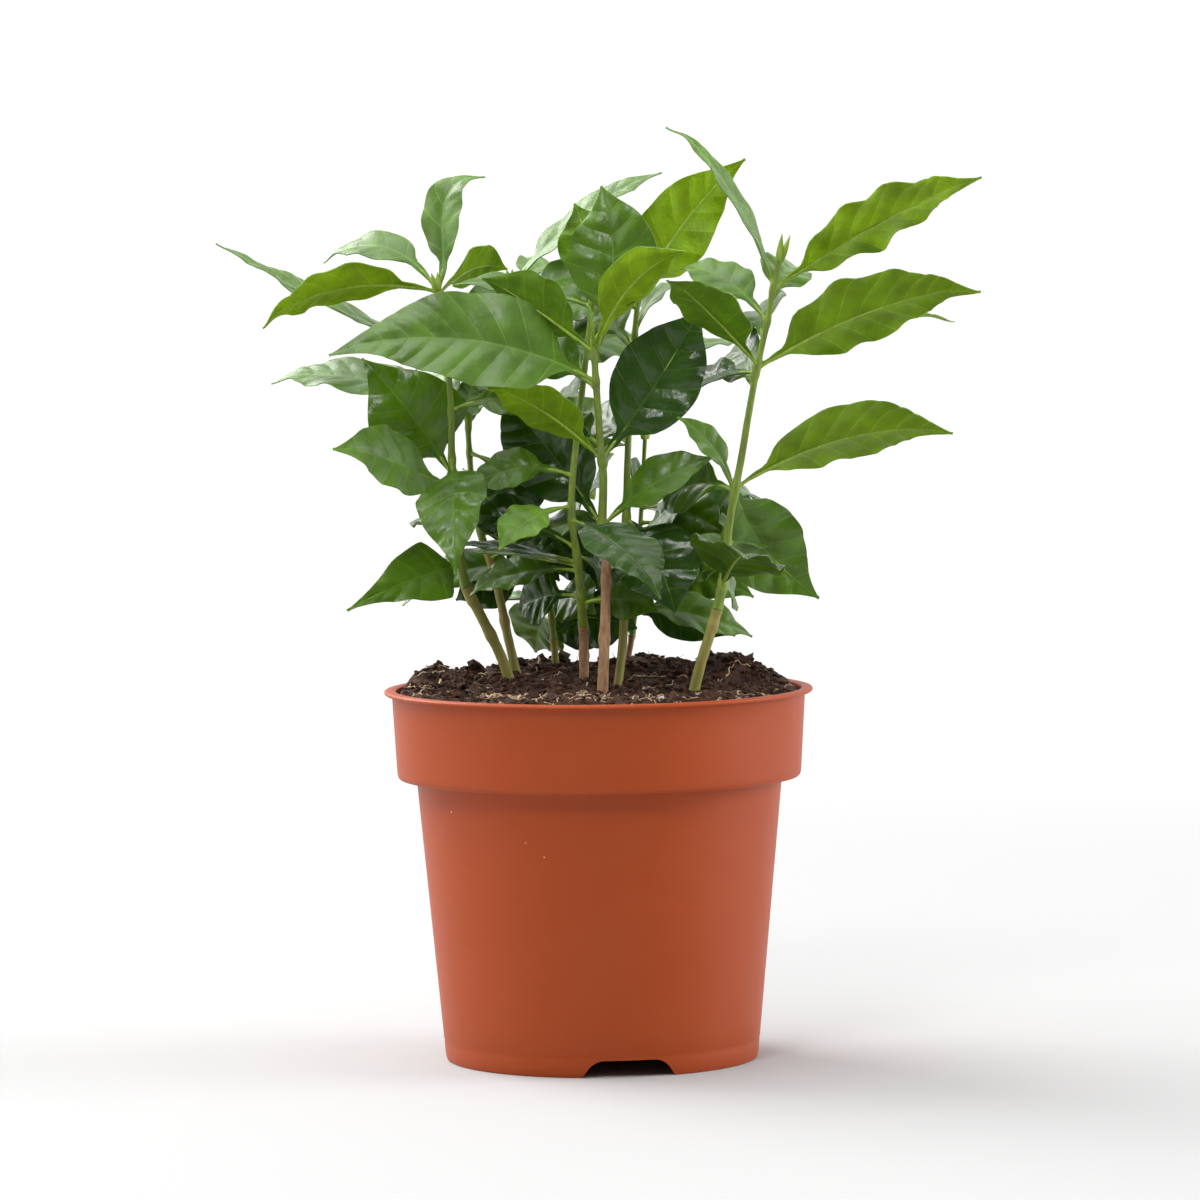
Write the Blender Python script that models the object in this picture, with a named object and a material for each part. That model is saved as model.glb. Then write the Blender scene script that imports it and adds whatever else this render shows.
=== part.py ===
"""Potted coffee plant: eight young coffee seedlings in a 12 cm nursery pot.

The pot is a turned shell with a rim, a collar and three arched cut-outs that leave three feet.
Each seedling is a bare stem, planted in the soil, and one leafy shoot that grows on from it.
A shoot is its green stem with all its leaves fused on. Lengths below are in millimetres.
"""
import math
import random

import bmesh
import bpy
from mathutils import Vector
from mathutils.bvhtree import BVHTree

MM = 0.001
SEED = 12

# Pot
RIM_RADIUS = 60.0
POT_HEIGHT = 104.0
LIP_HEIGHT = 1.3
COLLAR_TOP_RADIUS = 57.8
COLLAR_FOOT_RADIUS = 56.6
COLLAR_HEIGHT = 25.0
BODY_TOP_RADIUS = 51.1
BASE_RADIUS = 44.0
WALL = 1.2
FLOOR_HEIGHT = 4.8
POT_SIDES = 56
FOOT_ARCHES = 3
ARCH_TURN = -80.0
ARCH_TOP_WIDTH = 19.0
ARCH_FOOT_WIDTH = 26.5
ARCH_EASE = 1.2
ARCH_START = 30.0
ARCH_RUN = 25.0
FOOT_WIDTH = 3.0
EASE = 0.3
DRAFT = 0.1

# Soil
GAP = 0.3
SIDE_GAP = 0.4
SOIL_EDGE_DROP = 1.2
SOIL_RISE_START = -10.0
SOIL_RISE_RUN = 45.0
SOIL_LEVEL = 102.6
SOIL_BACK_RISE = 3.4
SOIL_SIDES = 40
SOIL_RINGS = (8.0, 17.0, 26.0, 34.0, 41.0, 47.0, 52.0)
SOIL_ROUGHNESS = 0.5
# x, y, radius and height of each heap
SOIL_HEAPS = (
    (12.0, 36.0, 11.0, 4.0),
    (36.0, 28.0, 10.0, 5.0),
    (-46.0, 18.0, 7.0, 4.0),
    (-18.0, 42.0, 10.0, 2.5),
)
PLANTING_DEPTH = 3.0

# Stems
STEM_SIDES = 8
STEM_RINGS = 7
SHOOT_RINGS = 10
PATH_POINTS = 60

# Leaves
LEAF_THICKNESS = 0.9
PETIOLE_LENGTH = 7.0
PETIOLE_THICKNESS = 1.5
FOLD = 7.0
BLADE_STATIONS = (0.0, 0.14, 0.32, 0.52, 0.72, 0.88, 1.0)
SHADE_STATIONS = (0.0, 0.22, 0.5, 0.8, 1.0)
CLEARANCE = 0.5
GIVE_WAY_STEPS = (3.0, 6.0, 9.0, 12.0, 16.0, 20.0, 25.0)
# Outline of a blade: its skew to the base, its fullness, and its drawn-out tip
OUTLINE_SKEW = 0.88
OUTLINE_POWER = 0.9
TIP_START = 0.7
TIP_TAPER = 0.45
NARROWEST = 0.4

POT_COLOUR = "B0583A"
SOIL_COLOUR = "2E2018"
WOOD_COLOUR = "8A6A4A"
YOUNG_LEAF_COLOUR = "6C9420"
LEAF_COLOUR = "3C6414"

# Openings through the crown that stay clear from the front: left, right, bottom and top
CROWN_GAPS = (
    (-33.0, -26.0, 113.0, 129.0),
    (-36.0, -31.0, 135.0, 141.0),
    (-44.0, -27.0, 165.0, 179.0),
    (12.0, 36.0, 160.0, 183.0),
    (13.0, 30.0, 201.0, 217.0),
    (14.0, 30.0, 104.0, 117.0),
    (-10.0, -6.0, 189.0, 193.0),
    (37.0, 100.0, 166.0, 188.0),
    (-34.0, -14.0, 221.0, 262.0),
    (-60.0, -46.0, 196.0, 215.0),
    (20.0, 60.0, 232.0, 262.0),
)
# Leaves that no other row fixes: how they may point, and how far back they may reach
SHADE_TRIES = 80
SHADE_LENGTH = (28.0, 44.0)
SHADE_RISE = (-14.0, 34.0)
SHADE_SHAPE = (0.42, 0.52)
SHADE_TIP = 55.0
SHADE_TIP_SHARE = (0.4, 1.1)
SHADE_ARCH = (0.04, 0.14)
SHADE_JITTER = 3.0
SHADE_FRONT = -6.0
SHADE_BACK = 60.0
SHADE_SIDE = 58.0
SHADE_TOP = 238.0

# Each seedling: the guide points of its stem, the radii at its foot and top, the height where
# its bare stem ends, its leaves, and the number of further shade leaves and the heights they
# grow between. A leaf is: height of its node, turn round the stem (0 points to +X, 90 to +Y),
# rise, length, width, roll, arch, and any further traits.
SEEDLINGS = {
    "front": {
        "guide": ((1, -4, 103), (2, -2, 120.5), (2.5, 0, 134.5), (2.5, 1, 144), (1.5, 1, 148.5),
                  (2, -1, 162.5), (1.5, -2, 168.5), (0.5, -7, 185), (0, -10, 193.5), (0, -11, 199.5)),
        "radii": (1.7, 1.2),
        "bare": 144.0,
        "leaves": (
            (149, -5, 32, 37, 16, -45, 0.06, {}),
            (149, 168, 50, 49, 25, 80, 0.03, {}),
            (168, -155, 32, 41, 17, -35, 0.06, {}),
            (168, 0, 56, 51, 25, -78, -0.02, {}),
            (190, -172, 7, 75, 30, 60, 0.10, {"belly": 0.75}),
            (197, 76, 80, 48, 26, 3, 0.02, {"sweep": 0.1, "petiole": 10.0}),
            (198, -36, 43, 42, 15, 35, 0.12, {}),
            (198, 178, 34, 38, 18, -60, 0.02, {}),
            (199, -96, 45, 18, 5, 85, 0.0, {"petiole": 2.0}),
        ),
        "shade": (3, 150.0, 195.0),
    },
    "right": {
        "guide": ((25.5, -10, 102.5), (28.5, -10, 111), (32, -10, 122), (34.5, -10, 131.5), (36, -10, 143),
                  (37, -10, 151), (38.5, -10, 159), (40.5, -10, 169), (42.5, -10, 180.5), (45, -10, 193.5),
                  (48, -10, 206.5), (49.5, -10, 215), (51.5, -10, 223)),
        "radii": (1.7, 1.0),
        "bare": 126.5,
        "leaves": (
            (132, 80, -13, 25, 13, -80, 0.10, {}),
            (133, -82, 15, 44, 27, 20, 0.04, {}),
            (159, 124, -10, 39, 17, 68, 0.12, {}),
            (160, 38, -47, 44, 24, -110, -0.02, {"belly": 0.95, "petiole": 3.0, "sweep": -0.14}),
            (158, 165, 55, 27, 10, 35, 0.10, {}),
            (160, 6, 14, 63, 26, 40, 0.09, {}),
            (192, 158, -13, 36, 15, 35, 0.07, {}),
            (194, 42, 9, 78, 16, 8, 0.04, {}),
            (193, 1, 20, 66, 27, 46, 0.06, {"belly": 0.85}),
            (194, -134, 35, 44, 20, -10, 0.03, {}),
            (206, 142, 28, 34, 16, 20, 0.10, {}),
            (215, 4, 28, 66, 24, 40, 0.03, {"belly": 0.92}),
            (216, 168, 58, 54, 9, 15, 0.07, {}),
        ),
        "shade": (7, 138.0, 214.0),
    },
    "left": {
        "guide": ((-24, 16, 104), (-27.5, 16, 112), (-33, 15, 123.5), (-37.5, 14, 133.5), (-39.5, 12, 150.5),
                  (-40.5, 10, 168.5), (-40.5, 10, 179), (-41, 10, 190), (-42.5, 9, 204.5), (-44, 8, 215.5)),
        "radii": (1.7, 1.1),
        "bare": 132.0,
        "leaves": (
            (138, -150, -17, 38, 20, 55, 0.03, {"belly": 0.4, "petiole": 3.0}),
            (159, -136, 18, 46, 21, 60, 0.03, {}),
            (163, 176, 53, 42, 29, 80, 0.03, {"belly": 0.62}),
            (168, -88, -46, 42, 21, -22, 0.12, {"belly": 0.75}),
            (181, 155, 9, 58, 18, 25, 0.08, {}),
            (198, 168, 26, 73, 16, 5, -0.04, {}),
            (214, 58, 11, 36, 14, 60, 0.10, {}),
            (215, 22, 66, 36, 14, -30, 0.22, {"peak": 0.7}),
            (215, -164, -9, 52, 17, -40, 0.11, {}),
            (216, 155, 13, 37, 14, 28, 0.21, {}),
        ),
        "shade": (7, 138.0, 205.0),
    },
    "middle_right": {
        "guide": ((5, 6, 103), (7, 8, 116.5), (8, 9, 139), (9, 11, 170), (10.5, 14, 189.5),
                  (11.5, 17, 205), (13, 20, 217)),
        "radii": (1.4, 1.0),
        "bare": 149.0,
        "leaves": (
            (151, -48, -54, 32, 25, -38, 0.08, {"petiole": 4.0}),
            (155, 60, 8, 24, 14, -65, 0.16, {}),
            (194, 34, 9, 39, 13, -10, 0.03, {}),
            (202, 54, 33, 27, 10, 10, 0.14, {}),
            (213, 20, 50, 50, 22, 85, 0.05, {"petiole": 4.0, "belly": 0.8}),
        ),
        "shade": (8, 118.0, 214.0),
    },
    "middle": {
        "guide": ((-4, 18, 104), (-4, 13, 116.5), (-4.5, 8, 126.5), (-5.5, 3, 139.5), (-7, -2, 156.5),
                  (-4, 3, 184.5), (-0.5, 8, 211)),
        "radii": (1.5, 1.1),
        "bare": 121.0,
        "leaves": (
            (138, 173, 8, 29, 9, 10, 0.03, {}),
            (139, -170, 9, 36, 10, 10, 0.03, {}),
            (151, -60, -20, 52, 20, -8, 0.06, {}),
            (141, 52, -30, 30, 20, -70, 0.06, {}),
            (129, 140, -10, 24, 17, 70, 0.08, {}),
            (155, -149, -25, 26, 15, 25, 0.10, {}),
            (210, -168, 11, 39, 12, 25, 0.06, {}),
            (211, 114, 68, 30, 18, -140, 0.10, {}),
        ),
        "shade": (8, 132.0, 206.0),
    },
    "left_inner": {
        "guide": ((-22.5, 26, 105), (-26, 27, 118.5), (-27, 27, 124), (-29.5, 26, 135.5), (-32, 26, 143),
                  (-33, 25, 147), (-35, 24, 158), (-36, 24, 172.5), (-36, 24, 178)),
        "radii": (1.5, 1.0),
        "bare": 142.0,
        "leaves": (
            (147, 8, -33, 27, 17, -72, 0.06, {}),
            (169, -35, -53, 29, 22, -30, 0.22, {"belly": 0.8}),
            (177, -77, 67, 16, 8, -130, 0.05, {"petiole": 2.0}),
            (177, 48, 48, 12, 5, 0, 0.05, {"petiole": 2.0}),
        ),
        "shade": (5, 144.0, 174.0),
    },
    "back_left": {
        "guide": ((-12, 38, 106), (-13, 37, 120), (-14, 37, 128), (-16.5, 36, 148.5), (-19, 35, 177.5),
                  (-21.5, 34, 200), (-23.5, 33, 216.5)),
        "radii": (1.1, 0.9),
        "bare": 115.0,
        "leaves": (
            (120, 104, -26, 24, 20, 135, 0.20, {}),
            (121, -14, -6, 25, 18, -75, 0.06, {}),
            (134, 176, -16, 27, 16, 72, 0.06, {}),
            (138, 20, -12, 32, 19, -68, 0.06, {}),
            (127, 153, -5, 22, 9, 15, 0.02, {}),
            (215, 60, 9, 31, 15, -15, 0.10, {}),
            (216, 16, 36, 55, 15, -15, 0.06, {}),
        ),
        "shade": (12, 132.0, 214.0),
    },
    "back_right": {
        "guide": ((8, 42, 106), (10, 41, 117.5), (11, 40, 128), (12.5, 38, 148), (14, 36, 172)),
        "radii": (1.0, 0.8),
        "bare": 116.0,
        "leaves": (
            (122.5, -20, -12, 31, 15, -66, 0.06, {"petiole": 3.0}),
            (124, 176, -20, 27, 19, 72, 0.06, {}),
            (139, 12, -10, 30, 18, -68, 0.06, {}),
            (140, 168, -8, 30, 18, 68, 0.06, {}),
        ),
        "shade": (9, 126.0, 171.0),
    },
}


def clear_scene():
    for piece in list(bpy.data.objects):
        bpy.data.objects.remove(piece, do_unlink=True)


def linear(value):
    return value / 12.92 if value <= 0.04045 else ((value + 0.055) / 1.055) ** 2.4


def make_material(name, colour, roughness):
    material = bpy.data.materials.new(name)
    material.use_nodes = True
    shader = material.node_tree.nodes["Principled BSDF"]
    channels = [linear(int(colour[i:i + 2], 16) / 255.0) for i in (0, 2, 4)]
    shader.inputs["Base Color"].default_value = (*channels, 1.0)
    shader.inputs["Roughness"].default_value = roughness
    shader.inputs["Metallic"].default_value = 0.0
    return material


def make_object(name, bm, material):
    bmesh.ops.recalc_face_normals(bm, faces=bm.faces)
    mesh = bpy.data.meshes.new(name)
    bm.to_mesh(mesh)
    bm.free()
    mesh.materials.append(material)
    piece = bpy.data.objects.new(name, mesh)
    bpy.context.scene.collection.objects.link(piece)
    return piece


def shade_round(piece):
    piece.data.shade_smooth()
    piece.data.set_sharp_from_angle(angle=math.radians(40.0))


def apply_modifiers(piece):
    bpy.context.view_layer.objects.active = piece
    for modifier in list(piece.modifiers):
        bpy.ops.object.modifier_apply(modifier=modifier.name)


def cut(piece, cutter):
    modifier = piece.modifiers.new("cut", "BOOLEAN")
    modifier.operation = "DIFFERENCE"
    modifier.object = cutter
    apply_modifiers(piece)
    bpy.data.objects.remove(cutter, do_unlink=True)


def keep_one_body(piece):
    """Drop loose scraps and fill sealed hollows: only the largest shell stays."""
    bm = bmesh.new()
    bm.from_mesh(piece.data)
    left = set(bm.faces)
    shells = []
    while left:
        start = left.pop()
        shell, reach = [start], [start]
        while reach:
            for edge in reach.pop().edges:
                for face in edge.link_faces:
                    if face in left:
                        left.remove(face)
                        shell.append(face)
                        reach.append(face)
        shells.append(shell)
    shells.sort(key=lambda shell: sum(face.calc_area() for face in shell))
    for shell in shells[:-1]:
        bmesh.ops.delete(bm, geom=shell, context="FACES")
    loose = [vert for vert in bm.verts if not vert.link_faces]
    bmesh.ops.delete(bm, geom=loose, context="VERTS")
    bm.to_mesh(piece.data)
    bm.free()


def fuse(piece, parts):
    """One Boolean union of a piece with a collection of parts, which is then removed."""
    collection = bpy.data.collections.new(piece.name + "_parts")
    bpy.context.scene.collection.children.link(collection)
    for part in parts:
        bpy.context.scene.collection.objects.unlink(part)
        collection.objects.link(part)
    modifier = piece.modifiers.new("fuse", "BOOLEAN")
    modifier.operation = "UNION"
    modifier.operand_type = "COLLECTION"
    modifier.collection = collection
    apply_modifiers(piece)
    for part in parts:
        bpy.data.objects.remove(part, do_unlink=True)
    bpy.data.collections.remove(collection)
    keep_one_body(piece)


def direction(turn, rise):
    turn, rise = math.radians(turn), math.radians(rise)
    return Vector((math.cos(turn) * math.cos(rise), math.sin(turn) * math.cos(rise), math.sin(rise)))


# ---------------------------------------------------------------- pot and soil

def turned(name, profile, sides, material):
    """A closed solid of revolution whose profile starts and ends on the axis."""
    bm = bmesh.new()
    verts = [bm.verts.new((radius * MM, 0.0, height * MM)) for radius, height in profile]
    edges = [bm.edges.new(pair) for pair in zip(verts, verts[1:])]
    bmesh.ops.spin(bm, geom=verts + edges, cent=(0, 0, 0), axis=(0, 0, 1),
                   angle=math.tau, steps=sides, use_merge=True)
    bmesh.ops.remove_doubles(bm, verts=bm.verts, dist=0.00001)
    return make_object(name, bm, material)


def pot_profile():
    """Radius and height from the underside's centre, up outside and back down inside."""
    lip_foot = POT_HEIGHT - LIP_HEIGHT
    collar_foot = POT_HEIGHT - COLLAR_HEIGHT
    return (
        (0.0, FLOOR_HEIGHT),
        (BASE_RADIUS - FOOT_WIDTH - DRAFT, FLOOR_HEIGHT),
        (BASE_RADIUS - FOOT_WIDTH, 0.0),
        (BASE_RADIUS - 3.0 * EASE, 0.0),
        (BASE_RADIUS - EASE, 2.0 * EASE),
        (BASE_RADIUS, 7.0 * EASE),
        (BODY_TOP_RADIUS, collar_foot - 3.0 * EASE),
        (BODY_TOP_RADIUS + 2.0 * EASE, collar_foot - DRAFT),
        (COLLAR_FOOT_RADIUS - 5.0 * EASE, collar_foot + DRAFT),
        (COLLAR_FOOT_RADIUS - EASE, collar_foot + 2.0 * EASE),
        (COLLAR_FOOT_RADIUS, collar_foot + 7.0 * EASE),
        (COLLAR_TOP_RADIUS, lip_foot - 2.0 * EASE),
        (RIM_RADIUS - 3.0 * EASE, lip_foot),
        (RIM_RADIUS, POT_HEIGHT - 2.0 * EASE),
        (RIM_RADIUS - EASE, POT_HEIGHT - 2.0 * DRAFT),
        (RIM_RADIUS - 3.0 * EASE, POT_HEIGHT),
        (COLLAR_TOP_RADIUS - WALL + 2.0 * EASE, POT_HEIGHT - DRAFT),
        (COLLAR_TOP_RADIUS - WALL, POT_HEIGHT - 3.0 * EASE),
        (COLLAR_FOOT_RADIUS - WALL, collar_foot + 7.0 * EASE),
        (BODY_TOP_RADIUS - WALL, collar_foot - 2.0 * DRAFT),
        (BASE_RADIUS - WALL, FLOOR_HEIGHT + WALL + 3.0 * EASE),
        (BASE_RADIUS - WALL - 3.0 * EASE, FLOOR_HEIGHT + WALL),
        (0.0, FLOOR_HEIGHT + WALL),
    )


def arch_cutter(turn, material):
    """A bar that cuts one arch through the skirt, with its upper corners eased."""
    top, foot = ARCH_TOP_WIDTH / 2.0, ARCH_FOOT_WIDTH / 2.0
    outline = (
        (-foot - ARCH_EASE, -ARCH_EASE), (-foot + 2.0 * EASE, 3.0 * EASE),
        (-top - ARCH_EASE, FLOOR_HEIGHT - ARCH_EASE), (-top, FLOOR_HEIGHT),
        (top, FLOOR_HEIGHT), (top + ARCH_EASE, FLOOR_HEIGHT - ARCH_EASE),
        (foot - 2.0 * EASE, 3.0 * EASE), (foot + ARCH_EASE, -ARCH_EASE),
    )
    ahead = direction(turn, 0.0)
    side = direction(turn + 90.0, 0.0)
    bm = bmesh.new()
    verts = [bm.verts.new((ahead * ARCH_START + side * across + Vector((0, 0, height))) * MM)
             for across, height in outline]
    face = bm.faces.new(verts)
    grown = bmesh.ops.extrude_face_region(bm, geom=[face])
    moved = [item for item in grown["geom"] if isinstance(item, bmesh.types.BMVert)]
    bmesh.ops.translate(bm, verts=moved, vec=ahead * ARCH_RUN * MM)
    return make_object("arch", bm, material)


def make_pot():
    material = make_material("terracotta coloured plastic", POT_COLOUR, 0.5)
    pot = turned("pot", pot_profile(), POT_SIDES, material)
    for number in range(FOOT_ARCHES):
        cut(pot, arch_cutter(ARCH_TURN + number * 360.0 / FOOT_ARCHES, material))
    shade_round(pot)


def soil_height(x, y):
    """Height of the soil: level at the front, heaped towards the back."""
    share = min(max((y - SOIL_RISE_START) / SOIL_RISE_RUN, 0.0), 1.0)
    height = SOIL_LEVEL + SOIL_BACK_RISE * share * share * (3.0 - 2.0 * share)
    for heap_x, heap_y, radius, rise in SOIL_HEAPS:
        away = ((x - heap_x) ** 2 + (y - heap_y) ** 2) / radius ** 2
        height += rise * math.exp(-away)
    return height


def soil_side():
    """The soil's side, a gap inside the pot's inner wall, from the top down."""
    collar_foot = POT_HEIGHT - COLLAR_HEIGHT
    floor = FLOOR_HEIGHT + WALL + GAP
    inset = WALL + SIDE_GAP
    return (
        (COLLAR_TOP_RADIUS - inset - 2.0 * DRAFT, SOIL_LEVEL - SOIL_EDGE_DROP),
        (COLLAR_FOOT_RADIUS - inset, collar_foot + 8.0 * EASE),
        (BODY_TOP_RADIUS - inset, collar_foot),
        (BASE_RADIUS - inset, floor + 4.0 * EASE),
        (BASE_RADIUS - inset - 3.0 * EASE, floor),
    )


def socket_cutter(path, radius, material):
    """A plug a gap wider than a stem's foot, which runs on straight above the soil."""
    run = 4.0 * PLANTING_DEPTH
    lean = (path[1] - path[0]) / (path[1] - path[0]).z
    points = [path[0] - Vector((0, 0, GAP)), path[0], path[0] + lean * run]
    return tube("socket", points, [radius + SIDE_GAP] * len(points), material)


def make_soil(seedlings):
    rng = random.Random(SEED)
    bm = bmesh.new()
    peak = bm.verts.new((0.0, 0.0, soil_height(0.0, 0.0) * MM))
    rows = []
    for radius in SOIL_RINGS:
        row = []
        for number in range(SOIL_SIDES):
            turn = math.tau * number / SOIL_SIDES
            x, y = radius * math.cos(turn), radius * math.sin(turn)
            height = soil_height(x, y) + rng.uniform(-1.0, 1.0) * SOIL_ROUGHNESS
            row.append(bm.verts.new((x * MM, y * MM, height * MM)))
        rows.append(row)
    for radius, height in soil_side():
        rows.append([bm.verts.new((radius * MM * math.cos(math.tau * number / SOIL_SIDES),
                                   radius * MM * math.sin(math.tau * number / SOIL_SIDES), height * MM))
                     for number in range(SOIL_SIDES)])
    for number in range(SOIL_SIDES):
        ahead = (number + 1) % SOIL_SIDES
        bm.faces.new((peak, rows[0][number], rows[0][ahead]))
        for inner, outer in zip(rows, rows[1:]):
            bm.faces.new((inner[number], outer[number], outer[ahead], inner[ahead]))
    bm.faces.new(list(reversed(rows[-1])))
    bmesh.ops.triangulate(bm, faces=bm.faces)
    material = make_material("peat soil", SOIL_COLOUR, 0.95)
    soil = make_object("soil", bm, material)
    for seedling in seedlings:
        cut(soil, socket_cutter(seedling["path"], seedling["radii"][0], material))
    shade_round(soil)


# ---------------------------------------------------------------- stems

def smooth_path(guide, count):
    """Points at even steps along a smooth curve through the guide points."""
    points = [Vector(point) for point in guide]
    points = [2 * points[0] - points[1]] + points + [2 * points[-1] - points[-2]]
    spans = len(points) - 3
    path = []
    for step in range(count):
        place = spans * step / (count - 1)
        span = min(int(place), spans - 1)
        t = place - span
        a, b, c, d = points[span:span + 4]
        path.append(0.5 * (2 * b + (c - a) * t + (2 * a - 5 * b + 4 * c - d) * t ** 2
                           + (3 * b - a - 3 * c + d) * t ** 3))
    return path


def at_height(path, height):
    """The point of a rising path at a height."""
    for low, high in zip(path, path[1:]):
        if high.z >= height:
            share = (height - low.z) / (high.z - low.z)
            return low.lerp(high, share)
    return path[-1].copy()


def tube(name, path, radii, material):
    """A closed tube with flat ends, its rings level."""
    bm = bmesh.new()
    rings = []
    for point, radius in zip(path, radii):
        rings.append([bm.verts.new((point + direction(360.0 * k / STEM_SIDES, 0.0) * radius) * MM)
                      for k in range(STEM_SIDES)])
    for low, high in zip(rings, rings[1:]):
        for k in range(STEM_SIDES):
            ahead = (k + 1) % STEM_SIDES
            bm.faces.new((low[k], low[ahead], high[ahead], high[k]))
    bm.faces.new(list(reversed(rings[0])))
    bm.faces.new(rings[-1])
    return make_object(name, bm, material)


def stem_path(seedling):
    """The stem's path from its foot in the soil to its top."""
    guide = list(seedling["guide"])
    foot_x, foot_y = guide[0][0], guide[0][1]
    guide[0] = (foot_x, foot_y, soil_height(foot_x, foot_y) - PLANTING_DEPTH)
    return smooth_path(guide, PATH_POINTS)


def stem_radius(seedling, height):
    foot, top = seedling["radii"]
    low, high = SOIL_LEVEL, seedling["guide"][-1][2]
    share = min(max((height - low) / (high - low), 0.0), 1.0)
    return foot + (top - foot) * share


def stem_part(name, seedling, low, high, count, material):
    """The length of a seedling's stem between two heights."""
    path = seedling["path"]
    heights = [low + (high - low) * step / (count - 1) for step in range(count)]
    return tube(name, [at_height(path, height) for height in heights],
                [stem_radius(seedling, height) for height in heights], material)


# ---------------------------------------------------------------- leaves

def bulge(share, peak):
    power = peak / (1.0 - peak)
    return share ** power * (1.0 - share) / (peak ** power * (1.0 - peak))


def half_width(share):
    """Outline of a coffee leaf: narrow at both ends, with a drawn-out tip."""
    taper = min(max((share - TIP_START) / (1.0 - TIP_START), 0.0), 1.0)
    taper = taper * taper * (3.0 - 2.0 * taper)
    return max(math.sin(math.pi * share ** OUTLINE_SKEW), 0.0) ** OUTLINE_POWER * (1.0 - TIP_TAPER * taper)


def leaf_sections(root, leaf):
    """Middle, side and face directions and half width of a leaf at each of its stations."""
    height, turn, rise, length, width, roll, arch, traits = leaf
    ahead = direction(turn, rise)
    across = direction(turn - 90.0, 0.0)
    upward = across.cross(ahead)
    petiole = traits.get("petiole", PETIOLE_LENGTH) / length
    peak = traits.get("peak", 0.5)
    sweep = traits.get("sweep", 0.0)
    roll = math.radians(roll)

    def middle(s):
        return (root + length * (s * ahead + arch * bulge(s, peak) * upward
                                 + sweep * 4.0 * s * (1.0 - s) * across))

    sections = []
    for share in (-1.0, *traits.get("stations", BLADE_STATIONS)):
        s = 0.0 if share < 0.0 else petiole + (1.0 - petiole) * share
        along = (middle(min(s + 0.01, 1.0)) - middle(max(s - 0.01, 0.0))).normalized()
        side = across * math.cos(roll) + upward * math.sin(roll)
        side = (side - along * side.dot(along)).normalized()
        half = PETIOLE_THICKNESS / 2.0
        thick = PETIOLE_THICKNESS
        if share > 0.0:
            half = max(0.5 * width * half_width(share ** traits.get("belly", 1.0)), NARROWEST)
            thick = LEAF_THICKNESS
        sections.append((middle(s), side, side.cross(along), half, thick))
    return sections


def leaf_points(sections, thicker=0.0):
    """Rings of six points round the leaf, which is folded a little along its middle."""
    fold = math.radians(FOLD)
    rings = []
    for middle, side, face, half, thick in sections:
        rim = face * half * math.sin(fold)
        reach = side * (half * math.cos(fold) + thicker)
        lift = face * (thick / 2.0 + thicker)
        rings.append([middle - reach + rim - lift, middle - lift, middle + reach + rim - lift,
                      middle + reach + rim + lift, middle + lift, middle - reach + rim + lift])
    return rings


def loft(rings):
    """Vertices and faces of a closed body through rings of six points."""
    verts = [point for ring in rings for point in ring]
    faces = []
    for row in range(len(rings) - 1):
        for k in range(6):
            ahead = (k + 1) % 6
            low, high = row * 6, (row + 1) * 6
            faces.append((low + k, low + ahead, high + ahead, high + k))
    last = (len(rings) - 1) * 6
    for start in (0, last):
        faces.append((start, start + 1, start + 4, start + 5))
        faces.append((start + 1, start + 2, start + 3, start + 4))
    return verts, faces


def leaf_object(sections, material):
    bm = bmesh.new()
    points, faces = loft(leaf_points(sections))
    verts = [bm.verts.new(point * MM) for point in points]
    for face in faces:
        bm.faces.new([verts[number] for number in face])
    return make_object("leaf", bm, material)


def blade_tree(sections):
    """A search tree of these sections of a blade, a clearance thicker than it is."""
    points, faces = loft(leaf_points(sections, CLEARANCE))
    return BVHTree.FromPolygons(points, faces)


def stem_tree(seedling):
    """A search tree of the whole stem, a clearance thicker than it is."""
    points, faces = [], []
    path = seedling["path"][::3]
    for row, point in enumerate(path):
        radius = stem_radius(seedling, point.z) + CLEARANCE
        for k in range(6):
            points.append(point + direction(60.0 * k, 0.0) * radius)
            if row:
                faces.append((row * 6 + k, row * 6 + (k + 1) % 6, row * 6 - 6 + (k + 1) % 6, row * 6 - 6 + k))
    return BVHTree.FromPolygons(points, faces)


class Crown:
    """The places that stems and settled leaves take up."""

    def __init__(self):
        self.taken = [(name, stem_tree(seedling), None) for name, seedling in SEEDLINGS.items()]

    def is_clear(self, name, whole, outer):
        """A leaf keeps off other seedlings, and off its own seedling away from its root."""
        for owner, other_whole, other_outer in self.taken:
            if owner != name and whole.overlap(other_whole):
                return False
            if owner == name and other_outer and outer.overlap(other_outer):
                return False
        return True

    def settle(self, name, leaf):
        """Take a leaf's place if it is clear, and return its sections."""
        seedling = SEEDLINGS[name]
        sections = leaf_sections(at_height(seedling["path"], leaf[0]), leaf)
        whole, outer = blade_tree(sections[1:]), blade_tree(sections[3:])
        if not self.is_clear(name, whole, outer):
            return None
        self.taken.append((name, whole, outer))
        seedling["settled"].append(sections)
        return sections


def shade_leaf(rng, share, low, high):
    """A leaf drawn by rule: it lies level, and tips its face to the front."""
    turn = rng.uniform(0.0, 360.0)
    tilt = -SHADE_TIP if math.cos(math.radians(turn)) > 0.0 else SHADE_TIP
    length = rng.uniform(*SHADE_LENGTH)
    height = low + (high - low) * share + rng.uniform(-SHADE_JITTER, SHADE_JITTER)
    return (height, turn, rng.uniform(*SHADE_RISE), length, length * rng.uniform(*SHADE_SHAPE),
            tilt * rng.uniform(*SHADE_TIP_SHARE), rng.uniform(*SHADE_ARCH), {"stations": SHADE_STATIONS})


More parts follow.
